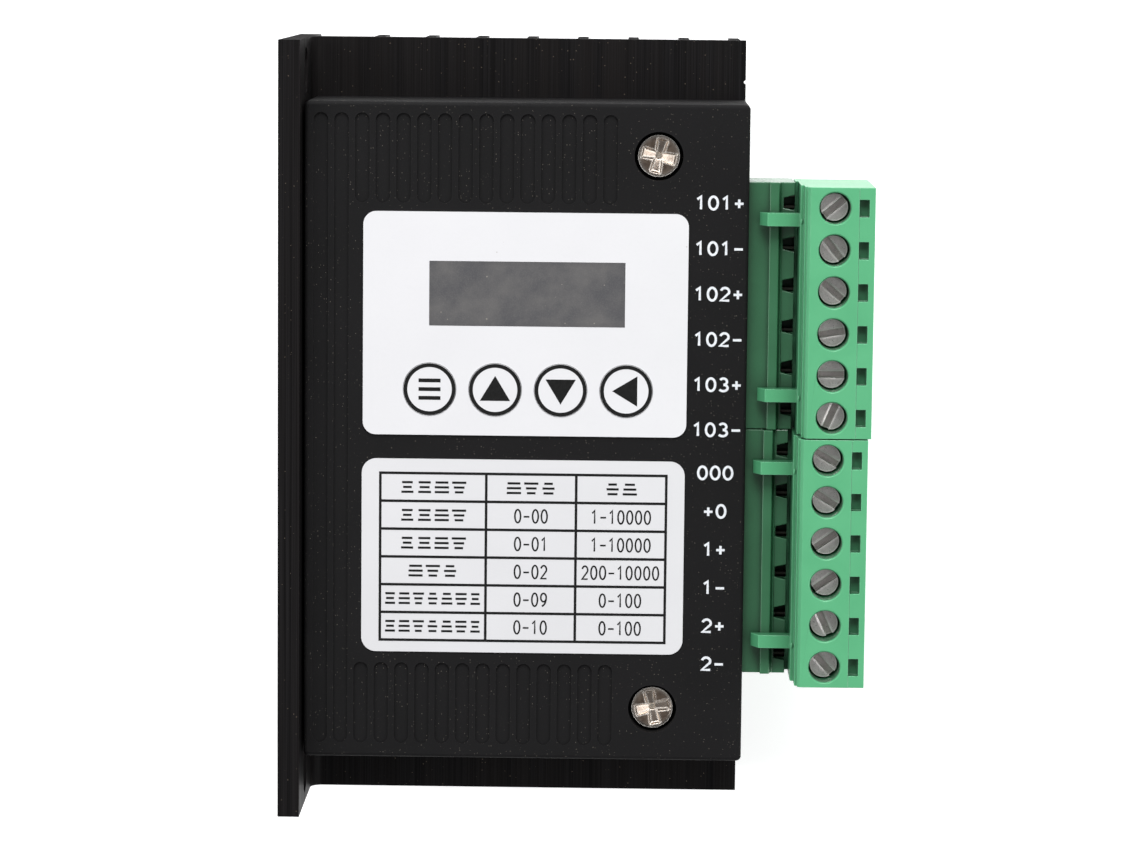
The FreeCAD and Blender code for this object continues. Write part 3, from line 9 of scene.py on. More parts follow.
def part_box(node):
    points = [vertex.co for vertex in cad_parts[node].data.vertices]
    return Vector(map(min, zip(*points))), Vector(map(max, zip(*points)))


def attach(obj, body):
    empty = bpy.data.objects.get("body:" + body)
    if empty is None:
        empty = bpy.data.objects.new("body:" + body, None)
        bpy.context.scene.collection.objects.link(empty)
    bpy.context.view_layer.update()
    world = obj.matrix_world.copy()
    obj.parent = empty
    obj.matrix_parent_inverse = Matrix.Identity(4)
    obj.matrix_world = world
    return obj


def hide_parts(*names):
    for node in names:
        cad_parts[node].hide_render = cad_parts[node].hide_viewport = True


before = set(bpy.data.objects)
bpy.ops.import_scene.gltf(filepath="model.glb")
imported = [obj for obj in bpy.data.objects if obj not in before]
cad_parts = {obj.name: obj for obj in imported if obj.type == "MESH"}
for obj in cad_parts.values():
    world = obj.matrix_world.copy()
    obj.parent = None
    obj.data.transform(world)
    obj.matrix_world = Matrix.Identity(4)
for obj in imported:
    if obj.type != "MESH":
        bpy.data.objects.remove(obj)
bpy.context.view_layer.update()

MM = 0.001
FULL_TURN = 2 * math.pi

# Printed ink; strokes that cross lie a hair above one another
INK = 0.02 * MM
STROKE_LIFT = 0.002 * MM
SHARPEST_JOIN = 0.6
ARC_STEP_DEGREES = 12
FEWEST_ARC_STEPS = 6

# Prints on the keys
KEYS = ("menu", "up", "down", "left")
TRIANGLE_TURNS = {"up": 0, "left": 90, "down": 180}
TRIANGLE_POINT = 1.72 * MM
TRIANGLE_BASE = 1.36 * MM
TRIANGLE_HALF = 1.86 * MM
RING_OUTER = 3.2 * MM
RING_STROKE = 0.46 * MM
RING_POINTS = 96
MENU_BAR_LENGTH = 2.7 * MM
MENU_BAR_STROKE = 0.46 * MM
MENU_BAR_SPACING = 1.08 * MM

# Table on the label, from the label's upper left corner
TABLE_LEFT = 2.3 * MM
TABLE_TOP = 1.78 * MM
TABLE_COLUMNS = (13.07 * MM, 11.09 * MM, 11.09 * MM)
TABLE_ROW = 3.475 * MM
TABLE_LINE = 0.32 * MM
TABLE_HEADINGS = (4, 3, 2)
TABLE_NAMES = (4, 4, 3, 7, 7)
TABLE_CODES = ("0-00", "0-01", "0-02", "0-09", "0-10")
TABLE_VALUES = ("1-10000", "1-10000", "200-10000", "0-100", "0-100")
TABLE_NUMERALS = {"height": 1.62 * MM, "width": 0.7 * MM, "gap": 0.39 * MM, "stroke": 0.2 * MM}

# Short bars that stand in for one written sign
SIGN_WIDTH = 1.75 * MM
SIGN_GAP = 0.38 * MM
SIGN_BAR = 0.27 * MM
SIGN_BAR_SPACING = 0.6 * MM
SIGN_BAR_SHARES = (0.7, 1.0, 0.85, 1.0, 0.6, 0.9, 0.75)
WIDEST_WORD = 12.3 * MM

# Numbers and signs of polarity beside the terminals
SIGNAL_NUMBERS = ("101+", "101-", "102+", "102-", "103+", "103-")
SIGNAL_FIRST = (17.6 * MM, 28.5 * MM)
SIGNAL_STEP = 5.58 * MM
POWER_NUMBERS = ("000", "+0", "1+", "1-", "2+", "2-")
POWER_FIRST = (17.5 * MM, -4.75 * MM)
POWER_STEP = 4.77 * MM
TERMINAL_NUMERALS = {"height": 1.55 * MM, "width": 1.05 * MM, "gap": 0.52 * MM, "stroke": 0.3 * MM}

# Screw threads
THREAD_DEPTH = 0.16 * MM
THREAD_PITCH = 0.5 * MM
THREAD_POINTS = 28
THREAD_STEPS = 6

# Terminal screws, numbered from the upper end
TERMINAL_ANGLES = (40, -52, -40, 10, 0, 67, -30, -33, 35, 35, -65, -48)
TERMINAL_HEAD = 1.6 * MM
TERMINAL_STEM = 1.3 * MM
SLOT_HALF_WIDTH = 0.42 * MM
SLOT_DEPTH = 0.7 * MM
SLOT_BEVEL = 0.2 * MM
SLOT_BEVEL_DROP = 0.06 * MM
SLOT_ARC_STEPS = 24

# Cover screws
COVER_ANGLES = (12, -13)
COVER_HEAD = 1.9 * MM
COVER_STEM = 1.45 * MM
HEAD_RISE = 0.1 * MM
HEAD_ROUND = 0.13 * MM
HEAD_RINGS = 45
HEAD_RIM_RINGS = 6
HEAD_POINTS = 144
CROSS_REACH = 2.15 * MM
CROSS_HALF_WIDTH = 0.56 * MM
CROSS_FLARE = 0.2 * MM
CROSS_WALL = 0.26 * MM
CROSS_DEPTH = 0.34 * MM
CROSS_SLOPE = 0.7 * MM
CROSS_WELL = 0.42 * MM
CROSS_WELL_DEPTH = 0.7 * MM

# Small marks left by the moulds of the plugs
NUB_LENGTH = 0.7 * MM
NUB_WIDTH = 0.34 * MM
NUB_HEIGHT = 0.14 * MM
NUB_INSET = 0.2 * MM
NUB_LEVEL = 33.0 * MM
NUB_TILTS = (0, 20, 40, 60, 80)
PLUG_WIDTH = 8.85 * MM
ARM_SPACING = 21.6 * MM

# Solder below the header pins: reach and drop of its outline
PIN_PITCH = 5.08 * MM
PINS_IN_ROW = 6
PIN_HALF = 0.5 * MM
SOLDER_OUTLINE = ((1.2 * MM, 0.0), (0.95 * MM, 0.12 * MM), (0.72 * MM, 0.45 * MM),
                  (0.6 * MM, 0.9 * MM), (0.35 * MM, 1.15 * MM))
SOLDER_POINTS = 24

# Rounding of the moulded edges
PLUG_EDGE = 0.12 * MM
HEADER_EDGE = 0.1 * MM
EDGE_SEGMENTS = 2
EDGE_ANGLE = 32
WELD_GAP = 0.0005 * MM

# Colours, as linear red, green and blue. Pairs run from dark to light.
ANODISED_SHADES = ((0.0052, 0.0049, 0.0052), (0.0145, 0.0138, 0.0146))
ANODISED_WARM = (0.0125, 0.0108, 0.0104)
ABS_SHADES = ((0.0062, 0.006, 0.0064), (0.0088, 0.0084, 0.009))
ABS_GRAIN = (0.014, 0.0135, 0.014)
ABS_FIBRE = (0.05, 0.047, 0.043)
# Painted highlight on the cover's edges
ABS_EDGE_HIGHLIGHT = (0.05, 0.05, 0.052)
WHITE_FILM_SHADES = ((0.72, 0.718, 0.736), (0.745, 0.742, 0.76))
LABEL_FILM_SHADES = ((0.672, 0.67, 0.686), (0.70, 0.698, 0.714))
FILM_FIBRE = (0.62, 0.62, 0.62)
WINDOW_SHADES = ((0.098, 0.097, 0.104), (0.142, 0.137, 0.137))
WINDOW_GRAIN = (0.2, 0.195, 0.19)
BLACK_INK_SHADES = ((0.004, 0.004, 0.004), (0.009, 0.009, 0.009))
WHITE_INK_SHADES = ((0.66, 0.68, 0.72), (0.8, 0.82, 0.86))
DIGIT_CASE_SHADES = ((0.012, 0.012, 0.013), (0.02, 0.02, 0.021))
DIGIT_SEGMENT_SHADES = ((0.5, 0.46, 0.44), (0.6, 0.55, 0.52))
NYLON_SHADES = ((0.01, 0.01, 0.01), (0.018, 0.018, 0.018))
PLUG_SHADES = ((0.088, 0.395, 0.185), (0.102, 0.43, 0.205))
# Painted highlight on the plug's edges
PLUG_EDGE_HIGHLIGHT = (0.26, 0.64, 0.4)
# Painted shade in the plug's gaps
PLUG_GAP_SHADE = (0.004, 0.045, 0.016)
# The header's own darker green, darkened further as painted shade
HEADER_SHADES = ((0.028, 0.14, 0.06), (0.036, 0.165, 0.074))
# Painted highlight on the header's edges
HEADER_EDGE_HIGHLIGHT = (0.1, 0.36, 0.18)
# Painted shade in the header's gaps
HEADER_GAP_SHADE = (0.002, 0.012, 0.005)
CHIP_SHADES = ((0.012, 0.012, 0.012), (0.022, 0.022, 0.022))
SILICONE_SHADES = ((0.3, 0.33, 0.36), (0.38, 0.41, 0.44))
SPACER_SHADES = ((0.62, 0.6, 0.54), (0.72, 0.7, 0.64))
ZINC_SHADES = ((0.68, 0.63, 0.62), (0.84, 0.79, 0.78))
ZINC_MARK = (0.5, 0.4, 0.37)
# Painted shade, brownish, in the slots of the terminal screws
ZINC_SLOT_SHADE = (0.36, 0.28, 0.25)
# Painted highlight on the slot edges and rims of the terminal screws
ZINC_EDGE_HIGHLIGHT = (1.0, 0.97, 0.95)
NICKEL_SHADES = ((0.17, 0.12, 0.09), (0.42, 0.33, 0.26))
NICKEL_MARK = (0.17, 0.12, 0.09)
# Painted highlight in the cross recess of the cover screws
NICKEL_RECESS_HIGHLIGHT = (0.95, 0.91, 0.85)
# Painted highlight round the rims of the cover screws
NICKEL_RIM_HIGHLIGHT = (1.0, 0.96, 0.9)
TIN_SHADES = ((0.5, 0.48, 0.42), (0.66, 0.63, 0.56))
TIN_MARK = (0.42, 0.34, 0.2)
# Painted shade in the recesses of the tinned parts
TIN_RECESS_SHADE = (0.03, 0.025, 0.02)
CAN_SHADES = ((0.6, 0.6, 0.62), (0.72, 0.72, 0.74))
CAN_MARK = (0.5, 0.5, 0.5)
# Painted shade in the recesses of the capacitor can
CAN_RECESS_SHADE = (0.1, 0.07, 0.05)
MASK_SHADES = ((0.006, 0.05, 0.018), (0.01, 0.075, 0.028))
MASK_OVER_TRACK = (0.018, 0.13, 0.045)
FLOOR_SHADES = ((0.93, 0.93, 0.93), (0.95, 0.95, 0.95))
BROWN_DUST = (0.16, 0.13, 0.1)
COVER_DUST = (0.2, 0.18, 0.15)
FILM_DUST = (0.35, 0.32, 0.28)
WINDOW_DUST = (0.45, 0.42, 0.36)
PLASTIC_DUST = (0.06, 0.08, 0.05)
WORLD_COLOUR = (0.97, 0.98, 1.0, 1.0)

# Thin clear skin of a moulded connector
GLOSS = {"Coat Weight": 0.14, "Coat Roughness": 0.12}
DEEP_GLOSS = {"Coat Weight": 0.5, "Coat Roughness": 0.12}

# Studio: each light has a name, a place, a size and a power
FLOOR_LEVEL = -0.1 * MM
FLOOR_HALF = 3.0
WORLD_STRENGTH = 0.25
SOFT_BOXES = (("key_light", (0.0, 0.75, 0.62), 0.55, 9.2),
              ("left_light", (-0.66, 0.1, 0.68), 0.6, 3.0),
              ("right_light", (0.66, -0.15, 0.7), 0.6, 3.0))
LIGHT_AIM = Vector((0, 0, 0.02))
CAMERA_SENSOR = 36.0
CAMERA_LENS = 122.56
CAMERA_PLACE = (0.0062, 0.05879, 0.5036)
CAMERA_ROLL = -0.010
CAMERA_TILT = 0.122
CAMERA_SWING = -0.014


# ---------------------------------------------------------------- materials

class Finish:
    """One procedural material, built up from noise, ramps and bumps."""

    def __init__(self, name, sockets=None):
        self.material = bpy.data.materials.new(name)
        self.material.use_nodes = True
        self.tree = self.material.node_tree
        self.shader = self.tree.nodes["Principled BSDF"]
        coordinates = self.node("ShaderNodeTexCoord")
        self.place = coordinates.outputs["Object"]
        self.facing = coordinates.outputs["Normal"]
        self.normal = None
        for socket, value in (sockets or {}).items():
            self.shader.inputs[socket].default_value = value

    def node(self, kind, **settings):
        made = self.tree.nodes.new(kind)
        for setting, value in settings.items():
            setattr(made, setting, value)
        return made

    def feed(self, socket, value):
        """Links an output, or sets a plain value."""
        if isinstance(value, bpy.types.NodeSocket):
            self.tree.links.new(value, socket)
        else:
            socket.default_value = value

    def scaled_place(self, size, stretch=(1, 1, 1)):
        """Place on the object, counted in pattern sizes along each axis."""
        mapping = self.node("ShaderNodeMapping")
        mapping.inputs["Scale"].default_value = [1 / (size * share) for share in stretch]
        self.feed(mapping.inputs["Vector"], self.place)
        return mapping.outputs["Vector"]

    def noise(self, size, stretch=(1, 1, 1), detail=4, distortion=0.0):
        """Cloudy pattern whose blobs are about one size long, stretched along chosen axes."""
        texture = self.node("ShaderNodeTexNoise")
        texture.inputs["Scale"].default_value = 1.0
        texture.inputs["Detail"].default_value = detail
        texture.inputs["Distortion"].default_value = distortion
        self.feed(texture.inputs["Vector"], self.scaled_place(size, stretch))
        return texture.outputs["Fac"]

    def cells(self, size, distance="EUCLIDEAN"):
        """Pattern of cells about one size across."""
        texture = self.node("ShaderNodeTexVoronoi", distance=distance)
        texture.inputs["Scale"].default_value = 1.0
        self.feed(texture.inputs["Vector"], self.scaled_place(size))
        return texture

    def ramp(self, pattern, shades, start=0.3, end=0.7):
        """Runs from the dark shade to the light one as the pattern rises from start to end."""
        made = self.node("ShaderNodeValToRGB")
        for element, position, shade in zip(made.color_ramp.elements, (start, end), shades):
            element.position = position
            element.color = (*shade, 1.0)
        self.feed(made.inputs["Fac"], pattern)
        return made.outputs["Color"]

    def spread(self, pattern, low, high, start=0.3, end=0.7):
        """Runs from low to high as the pattern rises from start to end."""
        made = self.node("ShaderNodeMapRange")
        for socket, number in (("From Min", start), ("From Max", end), ("To Min", low), ("To Max", high)):
            made.inputs[socket].default_value = number
        self.feed(made.inputs["Value"], pattern)
        return made.outputs["Result"]

    def reckon(self, operation, first, second=0.0):
        """One step of arithmetic on patterns."""
        made = self.node("ShaderNodeMath", operation=operation)
        self.feed(made.inputs[0], first)
        self.feed(made.inputs[1], second)
        return made.outputs[0]

    def overlay(self, colour, top, share, strength=1.0):
        """Lays a plain colour over another, as far as the share and the strength say."""
        if strength != 1.0:
            share = self.reckon("MULTIPLY", share, strength)
        made = self.node("ShaderNodeMix", data_type="RGBA")
        self.feed(made.inputs["Factor"], share)
        self.feed(made.inputs[6], colour)
        self.feed(made.inputs[7], (*top, 1.0))
        return made.outputs[2]

    def specks(self, spacing, radius, share):
        """1 on sparse round specks, 0 elsewhere. Only a share of the cells holds one."""
        cells = self.cells(spacing)
        parts = self.node("ShaderNodeSeparateColor")
        self.feed(parts.inputs["Color"], cells.outputs["Color"])
        holds = self.reckon("LESS_THAN", parts.outputs["Red"], share)
        size = self.reckon("MULTIPLY", parts.outputs["Green"], radius / spacing)
        inside = self.reckon("LESS_THAN", cells.outputs["Distance"], size)
        return self.reckon("MULTIPLY", holds, inside)

    def edges(self, width):
        """1 on outer edges, 0 on flats. Painted edge highlights are laid along it."""
        bevel = self.node("ShaderNodeBevel", samples=4)
        bevel.inputs["Radius"].default_value = width
        geometry = self.node("ShaderNodeNewGeometry")
        product = self.node("ShaderNodeVectorMath", operation="DOT_PRODUCT")
        self.feed(product.inputs[0], bevel.outputs["Normal"])
        self.feed(product.inputs[1], geometry.outputs["Normal"])
        return self.spread(product.outputs["Value"], 1.0, 0.0, start=0.75, end=0.98)

    def recess(self, reach):
        """1 deep in gaps and holes, where shade falls, 0 on open faces. Painted shade and painted
        highlights in hollows are laid along it.
        """
        shade = self.node("ShaderNodeAmbientOcclusion", samples=8)
        shade.inputs["Distance"].default_value = reach
        return self.spread(shade.outputs["AO"], 1.0, 0.0, start=0.3, end=0.8)

    def square_to(self, axis):
        """1 on faces square to one axis of the object, 0 on the others."""
        parts = self.node("ShaderNodeSeparateXYZ")
        self.feed(parts.inputs[0], self.facing)
        return self.reckon("GREATER_THAN", self.reckon("ABSOLUTE", parts.outputs[axis]), 0.9)

    def bump(self, height, distance):
        """Adds a relief on top of the earlier ones."""
        made = self.node("ShaderNodeBump")
        made.inputs["Strength"].default_value = 1.0
        made.inputs["Distance"].default_value = distance
        self.feed(made.inputs["Height"], height)
        if self.normal is not None:
            self.feed(made.inputs["Normal"], self.normal)
        self.normal = made.outputs["Normal"]

    def finish(self, colour, roughness):
        self.feed(self.shader.inputs["Base Color"], colour)
        self.feed(self.shader.inputs["Roughness"], roughness)
        if self.normal is not None:
            self.feed(self.shader.inputs["Normal"], self.normal)
        return self.material


def anodised_aluminium():
    """Black anodised extrusion: fine die lines along its length, dull sawn ends and a little dust."""
    look = Finish("anodised_aluminium", {"Specular IOR Level": 0.05})
    die_lines = look.noise(0.16 * MM, stretch=(1, 220, 1), detail=6)
    broad_lines = look.noise(1.6 * MM, stretch=(1, 60, 1), detail=4)
    saw_marks = look.noise(0.3 * MM, stretch=(30, 1, 1), detail=3)
    sawn = look.square_to("Y")
    dust = look.specks(spacing=0.36 * MM, radius=0.07 * MM, share=0.2)
    colour = look.ramp(die_lines, ANODISED_SHADES, start=0.38, end=0.68)
    colour = look.overlay(colour, ANODISED_WARM, look.spread(broad_lines, 0.0, 0.6))
    colour = look.overlay(colour, BROWN_DUST, dust, strength=0.6)
    look.bump(die_lines, 0.012 * MM)
    look.bump(look.noise(0.08 * MM, detail=2), 0.004 * MM)
    look.bump(look.reckon("MULTIPLY", sawn, saw_marks), 0.02 * MM)
    extruded = look.spread(broad_lines, 0.38, 0.52)
    return look.finish(colour, look.reckon("ADD", extruded, look.reckon("MULTIPLY", sawn, 0.45)))


def black_abs():
    """Black moulded cover with a fine spark-eroded grain, dust and a painted highlight on its edges."""
    look = Finish("black_abs", {"Specular IOR Level": 0.15})
    grain = look.noise(0.09 * MM, detail=3)
    cloud = look.noise(9 * MM, detail=5)
    fibres = look.noise(0.5 * MM, detail=2, distortion=3.0)
    dust = look.specks(spacing=0.3 * MM, radius=0.058 * MM, share=0.5)
    colour = look.ramp(cloud, ABS_SHADES, start=0.35)
    colour = look.overlay(colour, ABS_GRAIN, look.spread(grain, 0.0, 0.35, start=0.5, end=0.8))
    colour = look.overlay(colour, COVER_DUST, dust, strength=0.5)
    colour = look.overlay(colour, ABS_FIBRE, look.spread(fibres, 0.0, 0.12, start=0.62, end=0.74))
    # Painted highlight along the edges
    colour = look.overlay(colour, ABS_EDGE_HIGHLIGHT, look.edges(0.2 * MM), strength=0.12)
    look.bump(grain, 0.012 * MM)
    return look.finish(colour, look.spread(cloud, 0.66, 0.8))


def printed_film(name, shades, peel):
    """Polyester film: nearly flat, with a slight orange peel."""
    look = Finish(name)
    cloud = look.noise(12 * MM, detail=3)
    fibres = look.noise(0.5 * MM, detail=5)
    dust = look.specks(spacing=0.8 * MM, radius=0.12 * MM, share=0.012)
    colour = look.ramp(cloud, shades)
    colour = look.overlay(colour, FILM_FIBRE, look.spread(fibres, 0.0, 0.1, start=0.5, end=0.8))
    colour = look.overlay(colour, FILM_DUST, dust, strength=0.5)
    look.bump(look.noise(peel, detail=3), 0.006 * MM)
    return look.finish(colour, look.spread(fibres, 0.36, 0.46))


def smoked_window():
    """Grey see-through window in the film, cloudy and a little dusty."""
    look = Finish("smoked_window", {"Alpha": 0.8, "Specular IOR Level": 0.4})
    cloud = look.noise(2.6 * MM, detail=3)
    grain = look.noise(0.13 * MM, detail=3)
    dust = look.specks(spacing=0.4 * MM, radius=0.1 * MM, share=0.07)
    colour = look.ramp(cloud, WINDOW_SHADES, start=0.34, end=0.68)
    colour = look.overlay(colour, WINDOW_GRAIN, look.spread(grain, 0.0, 0.4, start=0.45, end=0.8))
    colour = look.overlay(colour, WINDOW_DUST, dust, strength=0.55)
    look.bump(grain, 0.006 * MM)
    return look.finish(colour, look.spread(cloud, 0.4, 0.5))


def printing_ink(name, shades):
    """Screen printed ink, thin and slightly uneven."""
    look = Finish(name, {"Specular IOR Level": 0.2})
    mottle = look.noise(0.25 * MM, detail=4)
    look.bump(mottle, 0.004 * MM)
    return look.finish(look.ramp(mottle, shades, start=0.35, end=0.65), look.spread(mottle, 0.55, 0.7))


def moulded_plastic(name, shades, roughness, rim=None, gap=None, reach=0.0, sockets=None):
    """Injection moulded part: soft flow clouds, a fine grain, a painted highlight on edges and painted
    shade in gaps.
    """
    look = Finish(name, sockets)
    cloud = look.noise(6 * MM, detail=4, distortion=0.4)
    grain = look.noise(0.12 * MM, detail=3)
    dust = look.specks(spacing=0.6 * MM, radius=0.08 * MM, share=0.03)
    colour = look.ramp(cloud, shades)
    if rim:
        # Painted highlight on the edges
        colour = look.overlay(colour, rim, look.edges(0.16 * MM), strength=0.85)
    if gap:
        # Painted shade in gaps and between parts
        colour = look.overlay(colour, gap, look.recess(reach), strength=0.7)
    colour = look.overlay(colour, PLASTIC_DUST, dust, strength=0.4)
    look.bump(grain, 0.008 * MM)
    return look.finish(colour, look.spread(grain, *roughness))


def plated_metal(name, shades, roughness, mark, recess, reach,
                 rim=None, metallic=1.0, stretch=(1, 1, 1)):
    """Plated steel or brass: cloudy plating, tool marks, a painted tone in recesses (painted shade on
    most metals, a painted highlight on nickel) and painted highlights on rims.
    """
    look = Finish(name, {"Metallic": metallic})
    cloud = look.noise(0.9 * MM, detail=5, distortion=0.8)
    marks = look.noise(0.12 * MM, stretch=stretch, detail=5)
    colour = look.ramp(cloud, shades)
    colour = look.overlay(colour, mark, look.spread(marks, 0.0, 0.5, start=0.52, end=0.75))
    # Painted shade in recesses; on nickel the recess colour is a painted highlight instead
    colour = look.overlay(colour, recess, look.recess(reach), strength=0.8)
    if rim:
        # Painted highlight on rims and slot edges; the metallic drops there so the painted colour shows
        rim_highlight_mask = look.reckon("MINIMUM", look.reckon("MULTIPLY", look.edges(0.3 * MM), 3.0), 1.0)
        colour = look.overlay(colour, rim, rim_highlight_mask)
        shine = look.spread(rim_highlight_mask, metallic, 0.1, start=0.0, end=1.0)
        look.feed(look.shader.inputs["Metallic"], shine)
    look.bump(marks, 0.006 * MM)
    return look.finish(colour, look.spread(marks, *roughness))


def board_laminate():
    """Green circuit board: solder mask over copper tracks."""
    look = Finish("green_laminate")
    cells = look.cells(1.6 * MM, "MANHATTAN")
    tracks = look.spread(cells.outputs["Distance"], 0.0, 1.0, start=0.48, end=0.54)
    weave = look.noise(0.3 * MM, detail=2)
    colour = look.overlay(look.ramp(weave, MASK_SHADES), MASK_OVER_TRACK, tracks)
    look.bump(tracks, 0.02 * MM)
    return look.finish(colour, look.spread(weave, 0.25, 0.4))


def plastic_finishes():
    """Finish of each moulded slot."""
    plain = {
        "digit_case": (DIGIT_CASE_SHADES, (0.5, 0.6)),
        "digit_segment": (DIGIT_SEGMENT_SHADES, (0.4, 0.5)),
        "black_nylon": (NYLON_SHADES, (0.4, 0.55)),
        "chip_epoxy": (CHIP_SHADES, (0.5, 0.7)),
        "thermal_silicone": (SILICONE_SHADES, (0.6, 0.75)),
        "nylon_spacer": (SPACER_SHADES, (0.4, 0.5)),
    }
    finishes = {name: moulded_plastic(name, *settings) for name, settings in plain.items()}
    finishes["green_polyamide"] = moulded_plastic(
        "green_polyamide", PLUG_SHADES, (0.36, 0.46), rim=PLUG_EDGE_HIGHLIGHT, gap=PLUG_GAP_SHADE, reach=8 * MM,
        sockets=GLOSS)
    finishes["dark_green_polyamide"] = moulded_plastic(
        "dark_green_polyamide", HEADER_SHADES, (0.4, 0.5), rim=HEADER_EDGE_HIGHLIGHT, gap=HEADER_GAP_SHADE, reach=3 * MM,
        sockets=DEEP_GLOSS)
    return finishes


def metal_finishes():
    """Finish of each plated slot."""
    return {
        "zinc_steel": plated_metal(
            "zinc_steel", ZINC_SHADES, (0.26, 0.38), mark=ZINC_MARK, recess=ZINC_SLOT_SHADE,
            reach=0.9 * MM, rim=ZINC_EDGE_HIGHLIGHT, metallic=0.72),
        "nickel_steel": plated_metal(
            "nickel_steel", NICKEL_SHADES, (0.14, 0.24), mark=NICKEL_MARK, recess=NICKEL_RECESS_HIGHLIGHT,
            reach=1.6 * MM, rim=NICKEL_RIM_HIGHLIGHT, metallic=0.95),
        "tinned_brass": plated_metal(
            "tinned_brass", TIN_SHADES, (0.25, 0.4), mark=TIN_MARK, recess=TIN_RECESS_SHADE, reach=3 * MM),
        "capacitor_can": plated_metal(
            "capacitor_can", CAN_SHADES, (0.25, 0.35), mark=CAN_MARK, recess=CAN_RECESS_SHADE, reach=0.9 * MM,
            stretch=(1, 1, 20)),
    }


def assign_finishes():
    """Gives each record slot its finish, and every CAD node the finish of its slot."""
    finishes = {
        "anodised_aluminium": anodised_aluminium(),
        "black_abs": black_abs(),
        "white_film": printed_film("white_film", WHITE_FILM_SHADES, peel=0.9 * MM),
        "label_film": printed_film("label_film", LABEL_FILM_SHADES, peel=0.6 * MM),
        "smoked_window": smoked_window(),
        "green_laminate": board_laminate(),
        **plastic_finishes(),
        **metal_finishes(),
    }
    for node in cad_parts.values():
        for holder in node.material_slots:
            holder.material = finishes[holder.material.name.split(".")[0]]
    return finishes


# ---------------------------------------------------------------- pieces

def piece(name, draw, details, material, body, replaced=()):
    """A mesh piece that rides on a body. The draw function fills its mesh, from the details given."""
    shape = bmesh.new()
    draw(shape, *details)
    bmesh.ops.recalc_face_normals(shape, faces=shape.faces)
    mesh = bpy.data.meshes.new(name)
    shape.to_mesh(mesh)
    shape.free()
    mesh.materials.append(material)
    made = bpy.data.objects.new(name, mesh)
    bpy.context.scene.collection.objects.link(made)
    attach(made, body)
    if replaced:
        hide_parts(*replaced)
    return made


def soften(node, width):
    """Rounds the sharp edges of a CAD node without touching its mesh."""
    weld = node.modifiers.new("weld", "WELD")
    weld.merge_threshold = WELD_GAP
    bevel = node.modifiers.new("edges", "BEVEL")
    bevel.width = width
    bevel.segments = EDGE_SEGMENTS
    bevel.limit_method = "ANGLE"
    bevel.angle_limit = math.radians(EDGE_ANGLE)
    bevel.use_clamp_overlap = True
    normals = node.modifiers.new("normals", "WEIGHTED_NORMAL")
    normals.keep_sharp = True


def smooth(thing, angle=40):
    """Smooth shading that stays crisp over corners sharper than an angle in degrees."""
    thing.data.shade_smooth()
    thing.data.set_sharp_from_angle(angle=math.radians(angle))


def middle(node):
    low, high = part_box(node)
    return (low + high) / 2


def prism(shape, outline, low, high):
    """Upright prism over a plan outline."""
    floor = [shape.verts.new((x, y, low)) for x, y in outline]
    roof = [shape.verts.new((x, y, high)) for x, y in outline]
    shape.faces.new(floor[::-1])
    shape.faces.new(roof)
    join_loops(shape, (floor, roof))


def bar(shape, x, y, width, height, low, high):
    """Upright block centred on a point of the plan."""
    left, right = x - width / 2, x + width / 2
    front, back = y - height / 2, y + height / 2
    prism(shape, ((left, front), (right, front), (right, back), (left, back)), low, high)


def join_loops(shape, loops):
    """Bridges neighbouring closed loops of equal length with quads."""
    for first, second in zip(loops, loops[1:]):
        count = len(first)
        for i in range(count):
            j = (i + 1) % count
            shape.faces.new((first[i], first[j], second[j], second[i]))


def circle(x, y, radius, count):
    """Points round a circle."""
    turns = [FULL_TURN * i / count for i in range(count)]
    return [(x + radius * math.cos(a), y + radius * math.sin(a)) for a in turns]


def ring(shape, x, y, outer, inner, low, high):
    """Flat ring of ink."""
    loops = [[shape.verts.new((px, py, z)) for px, py in circle(x, y, radius, RING_POINTS)]
             for radius, z in ((outer, low), (outer, high), (inner, high), (inner, low))]
    join_loops(shape, loops + loops[:1])


def arc(x, y, reach_x, reach_y, first, last):
    """Points on an oval between two angles in degrees."""
    steps = max(FEWEST_ARC_STEPS, round(abs(last - first) / ARC_STEP_DEGREES))
    turns = [math.radians(first + (last - first) * i / steps) for i in range(steps + 1)]
    return [(x + reach_x * math.cos(a), y + reach_y * math.sin(a)) for a in turns]


def numeral_strokes(mark):
    """Paths of one numeral or sign, in a box one unit wide and one unit high."""
    across = [(0.0, 0.46), (1.0, 0.46)]
    return {
        "0": [arc(0.5, 0.5, 0.5, 0.5, 0, 360)],
        "1": [[(0.12, 0.78), (0.55, 1.0), (0.55, 0.0)]],
        "2": [arc(0.5, 0.7, 0.48, 0.3, 165, -25) + [(0.0, 0.0), (1.0, 0.0)]],
        "3": [arc(0.46, 0.75, 0.42, 0.25, 150, -90), arc(0.46, 0.25, 0.5, 0.25, 90, -150)],
        "9": [arc(0.5, 0.68, 0.48, 0.32, 0, 360), arc(0.06, 0.68, 0.92, 0.68, 0, -80)],
        "-": [across],
        "+": [across, [(0.5, 0.12), (0.5, 0.8)]],
    }[mark]


def ribbon(shape, points, width, low, high):
    """Band of ink with an even width along a path."""
    path = [Vector(point) for point in points]
    sides = [Vector((a.y - b.y, b.x - a.x)).normalized() for a, b in zip(path, path[1:])]
    loops = []
    for i, here in enumerate(path):
        before = sides[max(0, i - 1)]
        after = sides[min(i, len(sides) - 1)]
        lean = (before + after).normalized()
        reach = lean * (width / 2 / max(SHARPEST_JOIN, lean.dot(after)))
        left, right = here + reach, here - reach
        corners = ((*left, low), (*left, high), (*right, high), (*right, low))
        loops.append([shape.verts.new(corner) for corner in corners])
    join_loops(shape, loops)
    shape.faces.new(loops[0][::-1])
    shape.faces.new(loops[-1])


